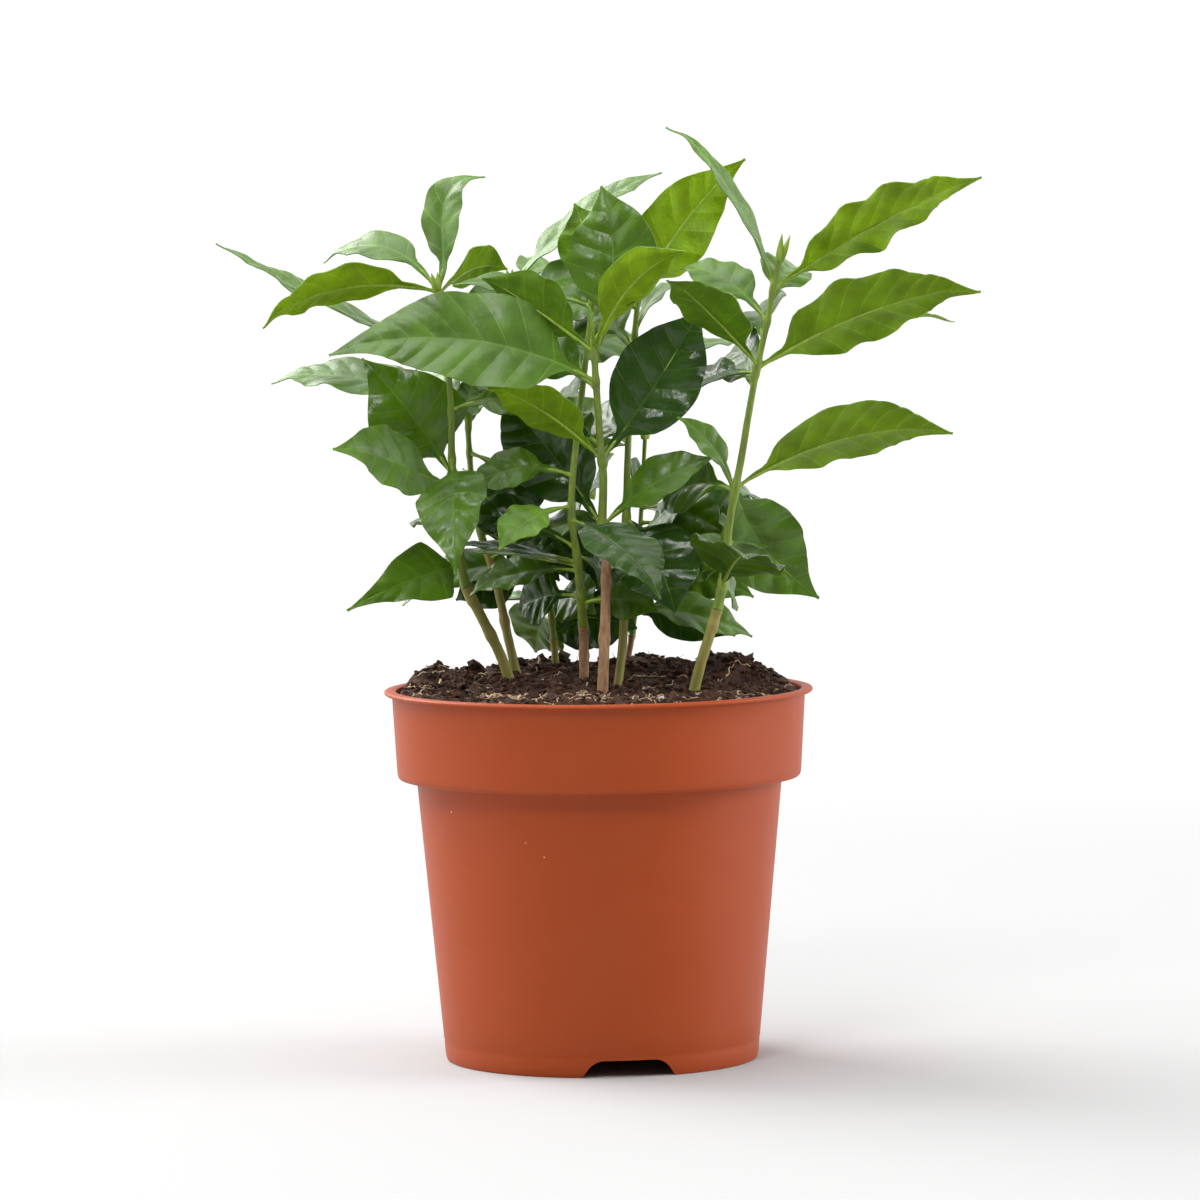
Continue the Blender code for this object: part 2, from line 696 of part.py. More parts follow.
def keeps_to_crown(root, leaf):
    """A shade leaf stays behind the front leaves, inside the crown and off its openings."""
    for middle, side, face, half, thick in leaf_sections(root, leaf)[1:]:
        if middle.y < SHADE_FRONT or middle.y > SHADE_BACK or abs(middle.x) > SHADE_SIDE or middle.z > SHADE_TOP:
            return False
        for point in (middle - side * half, middle, middle + side * half):
            for left, right, bottom, top in CROWN_GAPS:
                if left < point.x < right and bottom < point.z < top:
                    return False
    return True


def settle_leaves():
    """Give every leaf its place: one that would touch gives way in small turns, or is left out."""
    rng = random.Random(SEED)
    for seedling in SEEDLINGS.values():
        seedling["settled"] = []
    crown = Crown()
    for name, seedling in SEEDLINGS.items():
        for leaf in seedling["leaves"]:
            sign = rng.choice((-1.0, 1.0))
            for turned_by, raised_by in give_way_steps(sign):
                if crown.settle(name, (leaf[0], leaf[1] + turned_by, leaf[2] + raised_by, *leaf[3:])):
                    break
    for name, seedling in SEEDLINGS.items():
        count, low, high = seedling["shade"]
        for number in range(count):
            for attempt in range(SHADE_TRIES):
                leaf = shade_leaf(rng, (number + 0.5) / count, low, high)
                root = at_height(seedling["path"], leaf[0])
                if keeps_to_crown(root, leaf) and crown.settle(name, leaf):
                    break


def give_way_steps(sign):
    """Small turns and rises, smallest first."""
    yield 0.0, 0.0
    for step in GIVE_WAY_STEPS:
        yield sign * step, 0.0
        yield -sign * step, 0.0
        yield 0.0, step / 2.0
        yield 0.0, -step / 2.0


def make_seedlings():
    wood = make_material("coffee stem bark", WOOD_COLOUR, 0.7)
    green = make_material("coffee leaf", LEAF_COLOUR, 0.45)
    young = make_material("young coffee leaf", YOUNG_LEAF_COLOUR, 0.5)
    settle_leaves()
    for name, seedling in SEEDLINGS.items():
        foot = seedling["path"][0].z
        top = seedling["guide"][-1][2]
        split = seedling["bare"]
        stem = stem_part("stem_" + name, seedling, foot, split - GAP, STEM_RINGS, wood)
        shade_round(stem)
        colour = young if name in ("right", "left") else green
        shoot = stem_part("shoot_" + name, seedling, split, top, SHOOT_RINGS, colour)
        leaves = [leaf_object(sections, colour) for sections in seedling["settled"]]
        fuse(shoot, leaves)


def main():
    clear_scene()
    for seedling in SEEDLINGS.values():
        seedling["path"] = stem_path(seedling)
    make_pot()
    make_soil(SEEDLINGS.values())
    make_seedlings()


main()
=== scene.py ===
"""Dresses the potted coffee plant: pot, soil, bark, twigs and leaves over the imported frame."""
import math
import random
from collections import namedtuple

import bpy
from bpy.props import FloatProperty, FloatVectorProperty, IntProperty, PointerProperty
from mathutils import Matrix, Vector, noise
from mathutils.bvhtree import BVHTree


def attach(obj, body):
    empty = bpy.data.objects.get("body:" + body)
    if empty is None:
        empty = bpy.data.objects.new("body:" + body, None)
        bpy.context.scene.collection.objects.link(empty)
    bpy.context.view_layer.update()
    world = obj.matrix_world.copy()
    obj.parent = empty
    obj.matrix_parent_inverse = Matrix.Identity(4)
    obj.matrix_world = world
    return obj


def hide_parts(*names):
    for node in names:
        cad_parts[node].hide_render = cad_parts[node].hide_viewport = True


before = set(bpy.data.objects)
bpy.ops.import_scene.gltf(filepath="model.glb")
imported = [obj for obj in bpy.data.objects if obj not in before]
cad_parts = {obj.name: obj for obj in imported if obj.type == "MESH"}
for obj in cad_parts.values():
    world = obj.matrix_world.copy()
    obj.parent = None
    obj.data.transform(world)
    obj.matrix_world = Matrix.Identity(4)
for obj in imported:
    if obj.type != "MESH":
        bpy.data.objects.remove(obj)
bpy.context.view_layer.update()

bl_info = {
    "name": "Potted Coffee Plant",
    "version": (1, 0, 0),
    "blender": (4, 5, 0),
    "location": "View3D > Sidebar > Coffee Plant",
    "description": "Eight coffee seedlings in a nursery pot, built piece by piece",
    "category": "Add Mesh",
}

MM = 0.001
SEED = 12

# Pot, in millimetres
RIM_RADIUS = 60.0
POT_HEIGHT = 104.0
LIP_HEIGHT = 1.3
COLLAR_TOP_RADIUS = 57.8
COLLAR_FOOT_RADIUS = 56.6
COLLAR_HEIGHT = 25.0
BODY_TOP_RADIUS = 51.1
BASE_RADIUS = 44.0
WALL = 1.2
FLOOR_HEIGHT = 4.8
FOOT_WIDTH = 3.0
FOOT_ARCHES = 3
ARCH_TURN = -80.0
ARCH_TOP_WIDTH = 19.0
ARCH_FOOT_WIDTH = 26.5
ARCH_START = 30.0
ARCH_RUN = 25.0
ARCH_EASE = 1.2
ARCH_ROUND = 2.8
POT_SIDES = 192
EASE = 0.3
GROOVE_HEIGHT = 5.4
GROOVE_WIDTH = 0.7

# Soil
SOIL_RISE = (-10.0, 35.0)
SOIL_LEVEL = 102.6
SOIL_BACK_RISE = 3.4
SOIL_EDGE_DROP = 1.2
SOIL_SIDE_GAP = 0.4
SOIL_SIDES = 288
SOIL_RINGS = 68
# x, y, radius and height of each heap
SOIL_HEAPS = (
    (12.0, 36.0, 11.0, 4.0),
    (36.0, 28.0, 10.0, 5.0),
    (-46.0, 18.0, 7.0, 4.0),
    (-18.0, 42.0, 10.0, 2.5),
)
# left, right, front and back of the strip that half the surface roots start in
ROOT_STRIP = ((-34.0, 42.0), (-42.0, -12.0))
PLANTING_DEPTH = 3.0

# Bits strewn over the soil: how far out they lie, and how big they are
STREWN_REACH = 54.5
STREWN_EDGE = 55.3
ROOT_REACH = 51.0
ROOT_RADII = (0.14, 0.34)
ROOT_STEPS = (10, 28)
ROOT_STEP = 0.9
FIBRE_REACH = 52.0
FIBRE_RADII = (0.08, 0.22)
FIBRE_LENGTHS = (2.0, 5.5)

# Stems
GAP = 0.3
PATH_POINTS = 60
NODE_RUN = 1.5
# Share of the solid stem's radius: bare, and green; and the height over which it thins
STEM_SHARES = (0.9, 0.76)
GREEN_RUN = 25.0

# Leaves, as the solids have them
LEAF_THICKNESS = 0.9
PETIOLE_LENGTH = 7.0
PETIOLE_THICKNESS = 1.5
FOLD = 7.0
BLADE_STATIONS = (0.0, 0.14, 0.32, 0.52, 0.72, 0.88, 1.0)
SHADE_STATIONS = (0.0, 0.22, 0.5, 0.8, 1.0)
CLEARANCE = 0.5
GIVE_WAY_STEPS = (3.0, 6.0, 9.0, 12.0, 16.0, 20.0, 25.0)
OUTLINE_SKEW = 0.88
OUTLINE_POWER = 0.9
TIP_START = 0.7
TIP_TAPER = 0.45
NARROWEST = 0.4

# Openings through the crown that stay clear from the front: left, right, bottom and top
CROWN_GAPS = (
    (-33.0, -26.0, 113.0, 129.0),
    (-36.0, -31.0, 135.0, 141.0),
    (-44.0, -27.0, 165.0, 179.0),
    (12.0, 36.0, 160.0, 183.0),
    (13.0, 30.0, 201.0, 217.0),
    (14.0, 30.0, 104.0, 117.0),
    (-10.0, -6.0, 189.0, 193.0),
    (37.0, 100.0, 166.0, 188.0),
    (-34.0, -14.0, 221.0, 262.0),
    (-60.0, -46.0, 196.0, 215.0),
    (20.0, 60.0, 232.0, 262.0),
)
# Leaves that no other row fixes: how they may point, and how far back they may reach
SHADE_TRIES = 80
SHADE_LENGTH = (28.0, 44.0)
SHADE_RISE = (-14.0, 34.0)
SHADE_SHAPE = (0.42, 0.52)
SHADE_TIP = 55.0
SHADE_TIP_SHARE = (0.4, 1.1)
SHADE_ARCH = (0.04, 0.14)
SHADE_JITTER = 3.0
SHADE_FRONT = -6.0
SHADE_BACK = 60.0
SHADE_SIDE = 58.0
SHADE_TOP = 238.0

# Small leaves low in the crown, tried last: seedling and leaf
UNDERGROWTH = (
    ("back_left", (127, -62, 2, 27, 16, -60, 0.08, "mid")),
    ("middle_right", (134, -20, 8, 26, 15, -60, 0.08, "mid")),
    ("back_right", (134, -28, 5, 27, 16, -58, 0.06, "mid")),
    ("middle", (127, -25, -4, 23, 13, -62, 0.1, "mid")),
    ("left_inner", (139, -40, 4, 24, 14, -58, 0.08, "deep")),
)

# Finer growth on each leaf
VEIN_SPACING = 7.5
VEIN_PAIRS = (4, 9)
VEIN_WIDTH = 0.34
# How far the margin end of a vein lies ahead of its midrib end, as a share of the blade
VEIN_SWEEP = 0.17
ROWS_BETWEEN_VEINS = 4
MIDRIB_WIDTH = 0.8
RIB_END = 0.8
BLADE_COLUMNS = (0.16, 0.33, 0.52, 0.7, 0.86, 0.95, 1.0)
RIPPLE_SIZE = 11.0
# The halves of a blade rise from the midrib and level off to the margins
GULL_RISE = 0.24
GULL_DROP = 0.12
PUCKER_SIZE = 4.5
PUCKER_DEPTH = 0.42
# The blade's foot: the share of its length it widens over, and the share of its width it has there
BASE_RUN = 0.17
BASE_SHARE = 0.3
# Width and length in millimetres at which a blade swells, waves and droops in full
FULL_WIDTH = 20.0
FULL_LENGTH = 60.0
WAVE_COUNTS = (2.6, 4.2)
TIP_DROOPS = (0.5, 2.5)
CURL_RISE = 2.2
# The smallest share that counts as blade and not as stalk
BLADE_FOOT = 0.0001
# Radii of a leaf's stalk and midrib where they start, and how much they taper
STALK_RADIUS, STALK_TAPER = 0.78, 0.28
RIB_RADIUS, RIB_TAPER = 0.48, 0.36
# The blade's narrow wings down its stalk: shares along the stalk, and their width
WING_ROWS = (-0.85, -0.6, -0.35, -0.15)
WING = 1.0

# Each seedling: the guide points of its stem, the radii at its foot and top, the height where
# its bare stem ends, its leaves, and the number of further shade leaves and the heights they
# grow between. Leaves are rows of the values of a Leaf: height of its node, turn round the stem
# (0 points to +X, 90 to +Y), rise, length, width, roll, arch, look, and its traits if it has any.
Leaf = namedtuple("Leaf", "height turn rise length width roll arch look traits", defaults=({},))

SEEDLINGS = {
    "front": {
        "guide": ((1, -4, 103), (2, -2, 120.5), (2.5, 0, 134.5), (2.5, 1, 144), (1.5, 1, 148.5),
                  (2, -1, 162.5), (1.5, -2, 168.5), (0.5, -7, 185), (0, -10, 193.5), (0, -11, 199.5)),
        "radii": (1.7, 1.2),
        "bare": 144.0,
        "leaves": (
            (149, -5, 32, 37, 16, -45, 0.06, "mid"),
            (149, 168, 50, 49, 25, 80, 0.03, "deep"),
            (168, -155, 32, 41, 17, -35, 0.06, "light"),
            (168, 0, 56, 51, 25, -78, -0.02, "deep"),
            (190, -172, 7, 75, 30, 60, 0.10, "light", {"belly": 0.75, "wave": 1.0}),
            (197, 76, 80, 48, 26, 3, 0.02, "mid", {"sweep": 0.1, "petiole": 10.0}),
            (198, -36, 43, 42, 15, 35, 0.12, "bright", {"curl": 1.0}),
            (198, 178, 34, 38, 18, -60, 0.02, "mid", {"curl": 1.0}),
            (199, -96, 45, 18, 5, 85, 0.0, "bright", {"petiole": 2.0}),
        ),
        "shade": (3, 150.0, 195.0),
    },
    "right": {
        "guide": ((25.5, -10, 102.5), (28.5, -10, 111), (32, -10, 122), (34.5, -10, 131.5), (36, -10, 143),
                  (37, -10, 151), (38.5, -10, 159), (40.5, -10, 169), (42.5, -10, 180.5), (45, -10, 193.5),
                  (48, -10, 206.5), (49.5, -10, 215), (51.5, -10, 223)),
        "radii": (1.7, 1.0),
        "bare": 126.5,
        "leaves": (
            (132, 80, -13, 25, 13, -80, 0.10, "light"),
            (133, -82, 15, 44, 27, 20, 0.04, "deep"),
            (159, 124, -10, 39, 17, 68, 0.12, "mid"),
            (160, 38, -47, 44, 24, -110, -0.02, "mid", {"belly": 0.95, "petiole": 3.0, "sweep": -0.14}),
            (158, 165, 55, 27, 10, 35, 0.10, "light"),
            (160, 6, 14, 63, 26, 40, 0.09, "light", {"wave": 0.4}),
            (192, 158, -13, 36, 15, 35, 0.07, "deep"),
            (194, 42, 9, 78, 16, 8, 0.04, "light", {"wave": 1.3}),
            (193, 1, 20, 66, 27, 46, 0.06, "light", {"belly": 0.85, "wave": 1.2}),
            (194, -134, 35, 44, 20, -10, 0.03, "mid"),
            (206, 142, 28, 34, 16, 20, 0.10, "light"),
            (215, 4, 28, 66, 24, 40, 0.03, "bright", {"belly": 0.92, "wave": 1.5}),
            (216, 168, 58, 54, 9, 15, 0.07, "light"),
        ),
        "shade": (7, 138.0, 214.0),
    },
    "left": {
        "guide": ((-24, 16, 104), (-27.5, 16, 112), (-33, 15, 123.5), (-37.5, 14, 133.5), (-39.5, 12, 150.5),
                  (-40.5, 10, 168.5), (-40.5, 10, 179), (-41, 10, 190), (-42.5, 9, 204.5), (-44, 8, 215.5)),
        "radii": (1.7, 1.1),
        "bare": 132.0,
        "leaves": (
            (138, -150, -17, 38, 20, 55, 0.03, "mid", {"belly": 0.4, "petiole": 3.0}),
            (159, -136, 18, 46, 21, 60, 0.03, "light"),
            (163, 176, 53, 42, 29, 80, 0.03, "mid", {"belly": 0.62}),
            (168, -88, -46, 42, 21, -22, 0.12, "mid", {"belly": 0.75}),
            (181, 155, 9, 58, 18, 25, 0.08, "light"),
            (198, 168, 26, 73, 16, 5, -0.04, "light"),
            (214, 58, 11, 36, 14, 60, 0.10, "bright"),
            (215, 22, 66, 36, 14, -30, 0.22, "light", {"peak": 0.7}),
            (215, -164, -9, 52, 17, -40, 0.11, "bright"),
            (216, 155, 13, 37, 14, 28, 0.21, "light"),
        ),
        "shade": (7, 138.0, 205.0),
    },
    "middle_right": {
        "guide": ((5, 6, 103), (7, 8, 116.5), (8, 9, 139), (9, 11, 170), (10.5, 14, 189.5),
                  (11.5, 17, 205), (13, 20, 217)),
        "radii": (1.4, 1.0),
        "bare": 149.0,
        "leaves": (
            (151, -48, -54, 32, 25, -38, 0.08, "deep", {"petiole": 4.0}),
            (155, 60, 8, 24, 14, -65, 0.16, "deep"),
            (194, 34, 9, 39, 13, -10, 0.03, "light"),
            (202, 54, 33, 27, 10, 10, 0.14, "light"),
            (213, 20, 50, 50, 22, 85, 0.05, "bright", {"petiole": 4.0, "belly": 0.8}),
        ),
        "shade": (8, 118.0, 214.0),
    },
    "middle": {
        "guide": ((-4, 18, 104), (-4, 13, 116.5), (-4.5, 8, 126.5), (-5.5, 3, 139.5), (-7, -2, 156.5),
                  (-4, 3, 184.5), (-0.5, 8, 211)),
        "radii": (1.5, 1.1),
        "bare": 121.0,
        "leaves": (
            (138, 173, 8, 29, 9, 10, 0.03, "mid"),
            (139, -170, 9, 36, 10, 10, 0.03, "deep"),
            (151, -60, -20, 52, 20, -8, 0.06, "deep"),
            (141, 52, -30, 30, 20, -70, 0.06, "deep"),
            (129, 140, -10, 24, 17, 70, 0.08, "deep"),
            (155, -149, -25, 26, 15, 25, 0.10, "bright"),
            (210, -168, 11, 39, 12, 25, 0.06, "light"),
            (211, 114, 68, 30, 18, -140, 0.10, "mid"),
        ),
        "shade": (8, 132.0, 206.0),
    },
    "left_inner": {
        "guide": ((-22.5, 26, 105), (-26, 27, 118.5), (-27, 27, 124), (-29.5, 26, 135.5), (-32, 26, 143),
                  (-33, 25, 147), (-35, 24, 158), (-36, 24, 172.5), (-36, 24, 178)),
        "radii": (1.5, 1.0),
        "bare": 142.0,
        "leaves": (
            (147, 8, -33, 27, 17, -72, 0.06, "deep"),
            (169, -35, -53, 29, 22, -30, 0.22, "deep", {"belly": 0.8}),
            (177, -77, 67, 16, 8, -130, 0.05, "light", {"petiole": 2.0}),
            (177, 48, 48, 12, 5, 0, 0.05, "bright", {"petiole": 2.0}),
        ),
        "shade": (5, 144.0, 174.0),
    },
    "back_left": {
        "guide": ((-12, 38, 106), (-13, 37, 120), (-14, 37, 128), (-16.5, 36, 148.5), (-19, 35, 177.5),
                  (-21.5, 34, 200), (-23.5, 33, 216.5)),
        "radii": (1.1, 0.9),
        "bare": 115.0,
        "leaves": (
            (120, 104, -26, 24, 20, 135, 0.20, "mid"),
            (121, -14, -6, 25, 18, -75, 0.06, "deep"),
            (134, 176, -16, 27, 16, 72, 0.06, "deep"),
            (138, 20, -12, 32, 19, -68, 0.06, "deep"),
            (127, 153, -5, 22, 9, 15, 0.02, "mid"),
            (215, 60, 9, 31, 15, -15, 0.10, "light"),
            (216, 16, 36, 55, 15, -15, 0.06, "light"),
        ),
        "shade": (12, 132.0, 214.0),
    },
    "back_right": {
        "guide": ((8, 42, 106), (10, 41, 117.5), (11, 40, 128), (12.5, 38, 148), (14, 36, 172)),
        "radii": (1.0, 0.8),
        "bare": 116.0,
        "leaves": (
            (122.5, -20, -12, 31, 15, -66, 0.06, "deep", {"petiole": 3.0}),
            (124, 176, -20, 27, 19, 72, 0.06, "deep"),
            (139, 12, -10, 30, 18, -68, 0.06, "deep"),
            (140, 168, -8, 30, 18, 68, 0.06, "deep"),
        ),
        "shade": (9, 126.0, 171.0),
    },
}

# Nodes on the bare stems, and the seedlings whose bark is still green
BARK_NODES = {
    "front": (134.0, 118.0),
    "right": (122.0,),
    "left": (118.0, 128.0),
    "middle_right": (124.0, 138.0),
    "middle": (112.0,),
    "left_inner": (121.0, 133.0),
    "back_left": (),
    "back_right": (),
}
BUD_LENGTHS = {"right": 7.5, "left": 5.0}
BUD_LENGTH = 4.2
BUD_RADII = (0.85, 0.95, 1.0, 0.95, 0.85, 0.7, 0.5, 0.3, 0.08)
GREEN_STEMS = ("right", "left", "left_inner", "middle_right", "back_left")

# Camera: the side of its frame and its focal length in pixels, its place to the side in
# millimetres, and how far it dips and rolls in degrees
FRAME_SIDE = 1200.0
FOCAL_PIXELS = 6449.0
CAMERA_SIDE = 0.698
CAMERA_DIP = 3.86
CAMERA_ROLL = -0.6
SENSOR_WIDTH = 36.0

# Stage: the floor's side and where it fades into its surround, in metres, how bright the sky and
# the surround look, and each light's place, size, the setting of its power and the share of it
FLOOR_SIDE = 2.4
FADE_START = 0.3
FADE_END = 0.95
SKY_STRENGTH = 1.05
SURROUND_STRENGTH = 1.03
LIGHTS_AIM = Vector((0.0, 0.0, 0.13))
LIGHTS = {
    "key_light": ((-1.25, 0.95, 1.3), 1.4, "key_power", 1.0),
    "top_light": ((-0.3, -0.2, 1.7), 1.6, "top_power", 1.0),
    "front_light": ((-0.5, -1.5, 1.6), 0.5, "front_power", 1.0),
    "left_light": ((-1.7, -0.3, 0.5), 1.0, "side_power", 0.25),
    "right_light": ((1.6, 0.0, 0.6), 1.0, "side_power", 1.0),
}

# What a leaf ripens to: the colours of its top, the veins there, its underside and the veins
# there, then how rough and how waxy its top is, and how much it swells between its veins
LEAF_LOOKS = {
    "deep": ("274802", "3C5E10", "3C5E02", "4E7010", 0.21, 0.45, 1.15),
    "mid": ("486C02", "587C14", "507404", "608014", 0.28, 0.45, 1.0),
    "light": ("4E740C", "628A28", "6C8E06", "7C9E1C", 0.38, 0.7, 0.9),
    "bright": ("608A10", "749C2A", "789806", "86A41A", 0.4, 0.6, 0.8),
}
SHADE_LOOKS = ("deep", "mid", "mid", "mid", "light")


def linear(hex_colour):
    """An sRGB hex colour as linear red, green, blue and alpha."""
    values = [int(hex_colour[i:i + 2], 16) / 255.0 for i in (0, 2, 4)]
    return (*(v / 12.92 if v <= 0.04045 else ((v + 0.055) / 1.055) ** 2.4 for v in values), 1.0)


def colour_property(name, description, hex_colour):
    return FloatVectorProperty(name=name, description=description, subtype="COLOR", size=4,
                               min=0.0, max=1.0, default=linear(hex_colour))


class CoffeePotSettings(bpy.types.PropertyGroup):
    """The nursery pot."""
    plastic: colour_property("Plastic", "Colour of the moulded plastic", "A03F0A")
    worn: colour_property("Dusty", "Colour where the plastic has dried dust on it", "A4461A")
    speck: colour_property("Specks", "Colour of the pale grit specks", "E2B79C")
    groove: FloatProperty(name="Floor line", description="Depth of the line the raised floor leaves outside",
                          default=0.12 * MM, min=0.0, max=0.4 * MM, unit="LENGTH", precision=5)


class CoffeeSoilSettings(bpy.types.PropertyGroup):
    """The peat that fills the pot."""
    peat: colour_property("Peat", "Colour of the damp peat", "24140B")
    fibre: colour_property("Fibre", "Colour of the drier peat fibre", "64391E")
    root: colour_property("Roots", "Colour of the fine surface roots", "CCB38E")
    perlite: colour_property("Perlite", "Colour of the perlite bits", "E9E2D6")
    dusty_perlite: colour_property("Dusty perlite", "Colour where dust lies on the perlite", "BCAD9C")
    crumbs: IntProperty(name="Crumbs", description="Number of loose crumbs", default=900, min=0, max=3000)
    perlite_bits: IntProperty(name="Perlite bits", description="Number of perlite bits", default=24,
                              min=0, max=400)
    roots: IntProperty(name="Roots", description="Number of fine roots", default=120, min=0, max=400)
    fibres: IntProperty(name="Fibres", description="Number of peat fibres", default=420, min=0, max=2000)
    relief: FloatProperty(name="Crumb relief", description="Height of the peat's lumps",
                          default=1.3 * MM, min=0.0, max=3.0 * MM, unit="LENGTH", precision=5)


class CoffeeStemSettings(bpy.types.PropertyGroup):
    """Bare stems and green twigs."""
    wood: colour_property("Wood", "Colour of the corky bark", "966848")
    wood_pale: colour_property("Pale wood", "Colour of the bark's raised cork", "BE9C76")
    green_bark: colour_property("Green bark", "Colour of the younger bark", "868A36")
    rind_brown: colour_property("Green bark streaks", "Colour of the younger bark's corky streaks", "A08C50")
    twig: colour_property("Twig", "Colour of the green twigs", "66762A")
    stalk: colour_property("Leaf stalks", "Colour of leaf stalks and midribs", "7A9622")
    stalk_pale: colour_property("Pale stalks", "Colour of the stalks' paler streaks", "94AC3C")
    relief: FloatProperty(name="Bark relief", description="Depth of the bark's furrows",
                          default=0.1 * MM, min=0.0, max=0.5 * MM, unit="LENGTH", precision=5)


class CoffeeLeafSettings(bpy.types.PropertyGroup):
    """All the leaves."""
    thickness: FloatProperty(name="Thickness", description="Thickness of a blade",
                             default=0.3 * MM, min=0.1 * MM, max=0.9 * MM, unit="LENGTH", precision=5)
    quilting: FloatProperty(name="Quilting", description="How far the blade swells between its veins",
                            default=0.75 * MM, min=0.0, max=1.5 * MM, unit="LENGTH", precision=5)
    ripples: FloatProperty(name="Ripples", description="How far the blade buckles unevenly",
                           default=1.3 * MM, min=0.0, max=3.0 * MM, unit="LENGTH", precision=5)
    waves: FloatProperty(name="Waves", description="How far the margins wave",
                         default=0.7 * MM, min=0.0, max=2.0 * MM, unit="LENGTH", precision=5)


class CoffeeStageSettings(bpy.types.PropertyGroup):
    """Floor, lights and camera."""
    floor: colour_property("Floor", "Colour of the floor", "B0B0B0")
    key_power: FloatProperty(name="Key light", description="Power of the key light", default=47.0,
                             min=0.0, max=500.0, unit="POWER")
    top_power: FloatProperty(name="Top light", description="Power of the light overhead", default=19.0,
                             min=0.0, max=500.0, unit="POWER")
    side_power: FloatProperty(name="Side light", description="Power of the light at the right", default=22.0,
                              min=0.0, max=500.0, unit="POWER")
    front_power: FloatProperty(name="Front light", description="Power of the light in front", default=14.0,
                               min=0.0, max=500.0, unit="POWER")
    camera_distance: FloatProperty(name="Camera distance", description="Distance from the pot's axis",
                                   default=1.8, min=0.5, max=10.0, unit="LENGTH")
    camera_height: FloatProperty(name="Camera height", description="Height above the floor",
                                 default=0.25, min=0.0, max=3.0, unit="LENGTH")


SETTINGS = {
    "coffee_pot": CoffeePotSettings,
    "coffee_soil": CoffeeSoilSettings,
    "coffee_stems": CoffeeStemSettings,
    "coffee_leaves": CoffeeLeafSettings,
    "coffee_stage": CoffeeStageSettings,
}


# ---------------------------------------------------------------- materials

def add_node(tree, kind, settings, links=()):
    """Add a node with its settings, by name or socket number, and link outputs to its sockets."""
    node = tree.nodes.new(kind)
    for key, value in settings.items():
        if isinstance(key, int) or key in node.inputs:
            node.inputs[key].default_value = value
        else:
            setattr(node, key, value)
    for output, socket in links:
        tree.links.new(output, node.inputs[socket])
    return node


def start_material(name, **constants):
    """A material, its node tree and its shader, with the shader's constant sockets set."""
    material = bpy.data.materials.new(name)
    material.use_nodes = True
    shader = material.node_tree.nodes["Principled BSDF"]
    for socket, value in constants.items():
        shader.inputs[socket.replace("_", " ")].default_value = value
    return material, material.node_tree, shader


def moulded_polypropylene(settings):
    """Injection moulded polypropylene: satin, faintly grained by the mould, with grit specks."""
    material, tree, shader = start_material("moulded terracotta polypropylene", IOR=1.49,
                                            Specular_IOR_Level=0.32)
    place = add_node(tree, "ShaderNodeTexCoord", {}).outputs["Object"]
    dust = add_node(tree, "ShaderNodeTexNoise", {"Scale": 1.0 / (22.0 * MM), "Detail": 5.0, "Roughness": 0.6},
                    [(place, "Vector")])
    dusty = add_node(tree, "ShaderNodeMapRange", {"From Min": 0.42, "From Max": 0.78, "To Max": 0.55},
                     [(dust.outputs["Fac"], "Value")])
    plastic = add_node(tree, "ShaderNodeMix",
                       {"data_type": "RGBA", 6: settings.plastic, 7: settings.worn},
                       [(dusty.outputs["Result"], 0)])
    # one grit speck in some of the 9 mm cells
    cells = add_node(tree, "ShaderNodeTexVoronoi", {"Scale": 1.0 / (9.0 * MM)}, [(place, "Vector")])
    near = add_node(tree, "ShaderNodeMath", {"operation": "LESS_THAN", 1: 0.03},
                    [(cells.outputs["Distance"], 0)])
    chosen = add_node(tree, "ShaderNodeMath", {"operation": "GREATER_THAN", 1: 0.5},
                      [(cells.outputs["Color"], 0)])
    speck = add_node(tree, "ShaderNodeMath", {"operation": "MULTIPLY"},
                     [(near.outputs[0], 0), (chosen.outputs[0], 1)])
    colour = add_node(tree, "ShaderNodeMix", {"data_type": "RGBA", 7: settings.speck},
                      [(speck.outputs[0], 0), (plastic.outputs[2], 6)])
    gloss = add_node(tree, "ShaderNodeMapRange", {"To Min": 0.4, "To Max": 0.56},
                     [(dust.outputs["Fac"], "Value")])
    grain = add_node(tree, "ShaderNodeTexNoise", {"Scale": 1.0 / (0.7 * MM), "Detail": 3.0},
                     [(place, "Vector")])
    swell = add_node(tree, "ShaderNodeTexNoise", {"Scale": 1.0 / (14.0 * MM), "Detail": 1.0},
                     [(place, "Vector")])
    fine = add_node(tree, "ShaderNodeBump", {"Strength": 0.5, "Distance": 0.02 * MM},
                    [(grain.outputs["Fac"], "Height")])
    broad = add_node(tree, "ShaderNodeBump", {"Strength": 0.6, "Distance": 0.25 * MM},
                     [(swell.outputs["Fac"], "Height"), (fine.outputs[0], "Normal")])
    tree.links.new(colour.outputs[2], shader.inputs["Base Color"])
    tree.links.new(gloss.outputs["Result"], shader.inputs["Roughness"])
    tree.links.new(broad.outputs[0], shader.inputs["Normal"])
    return material


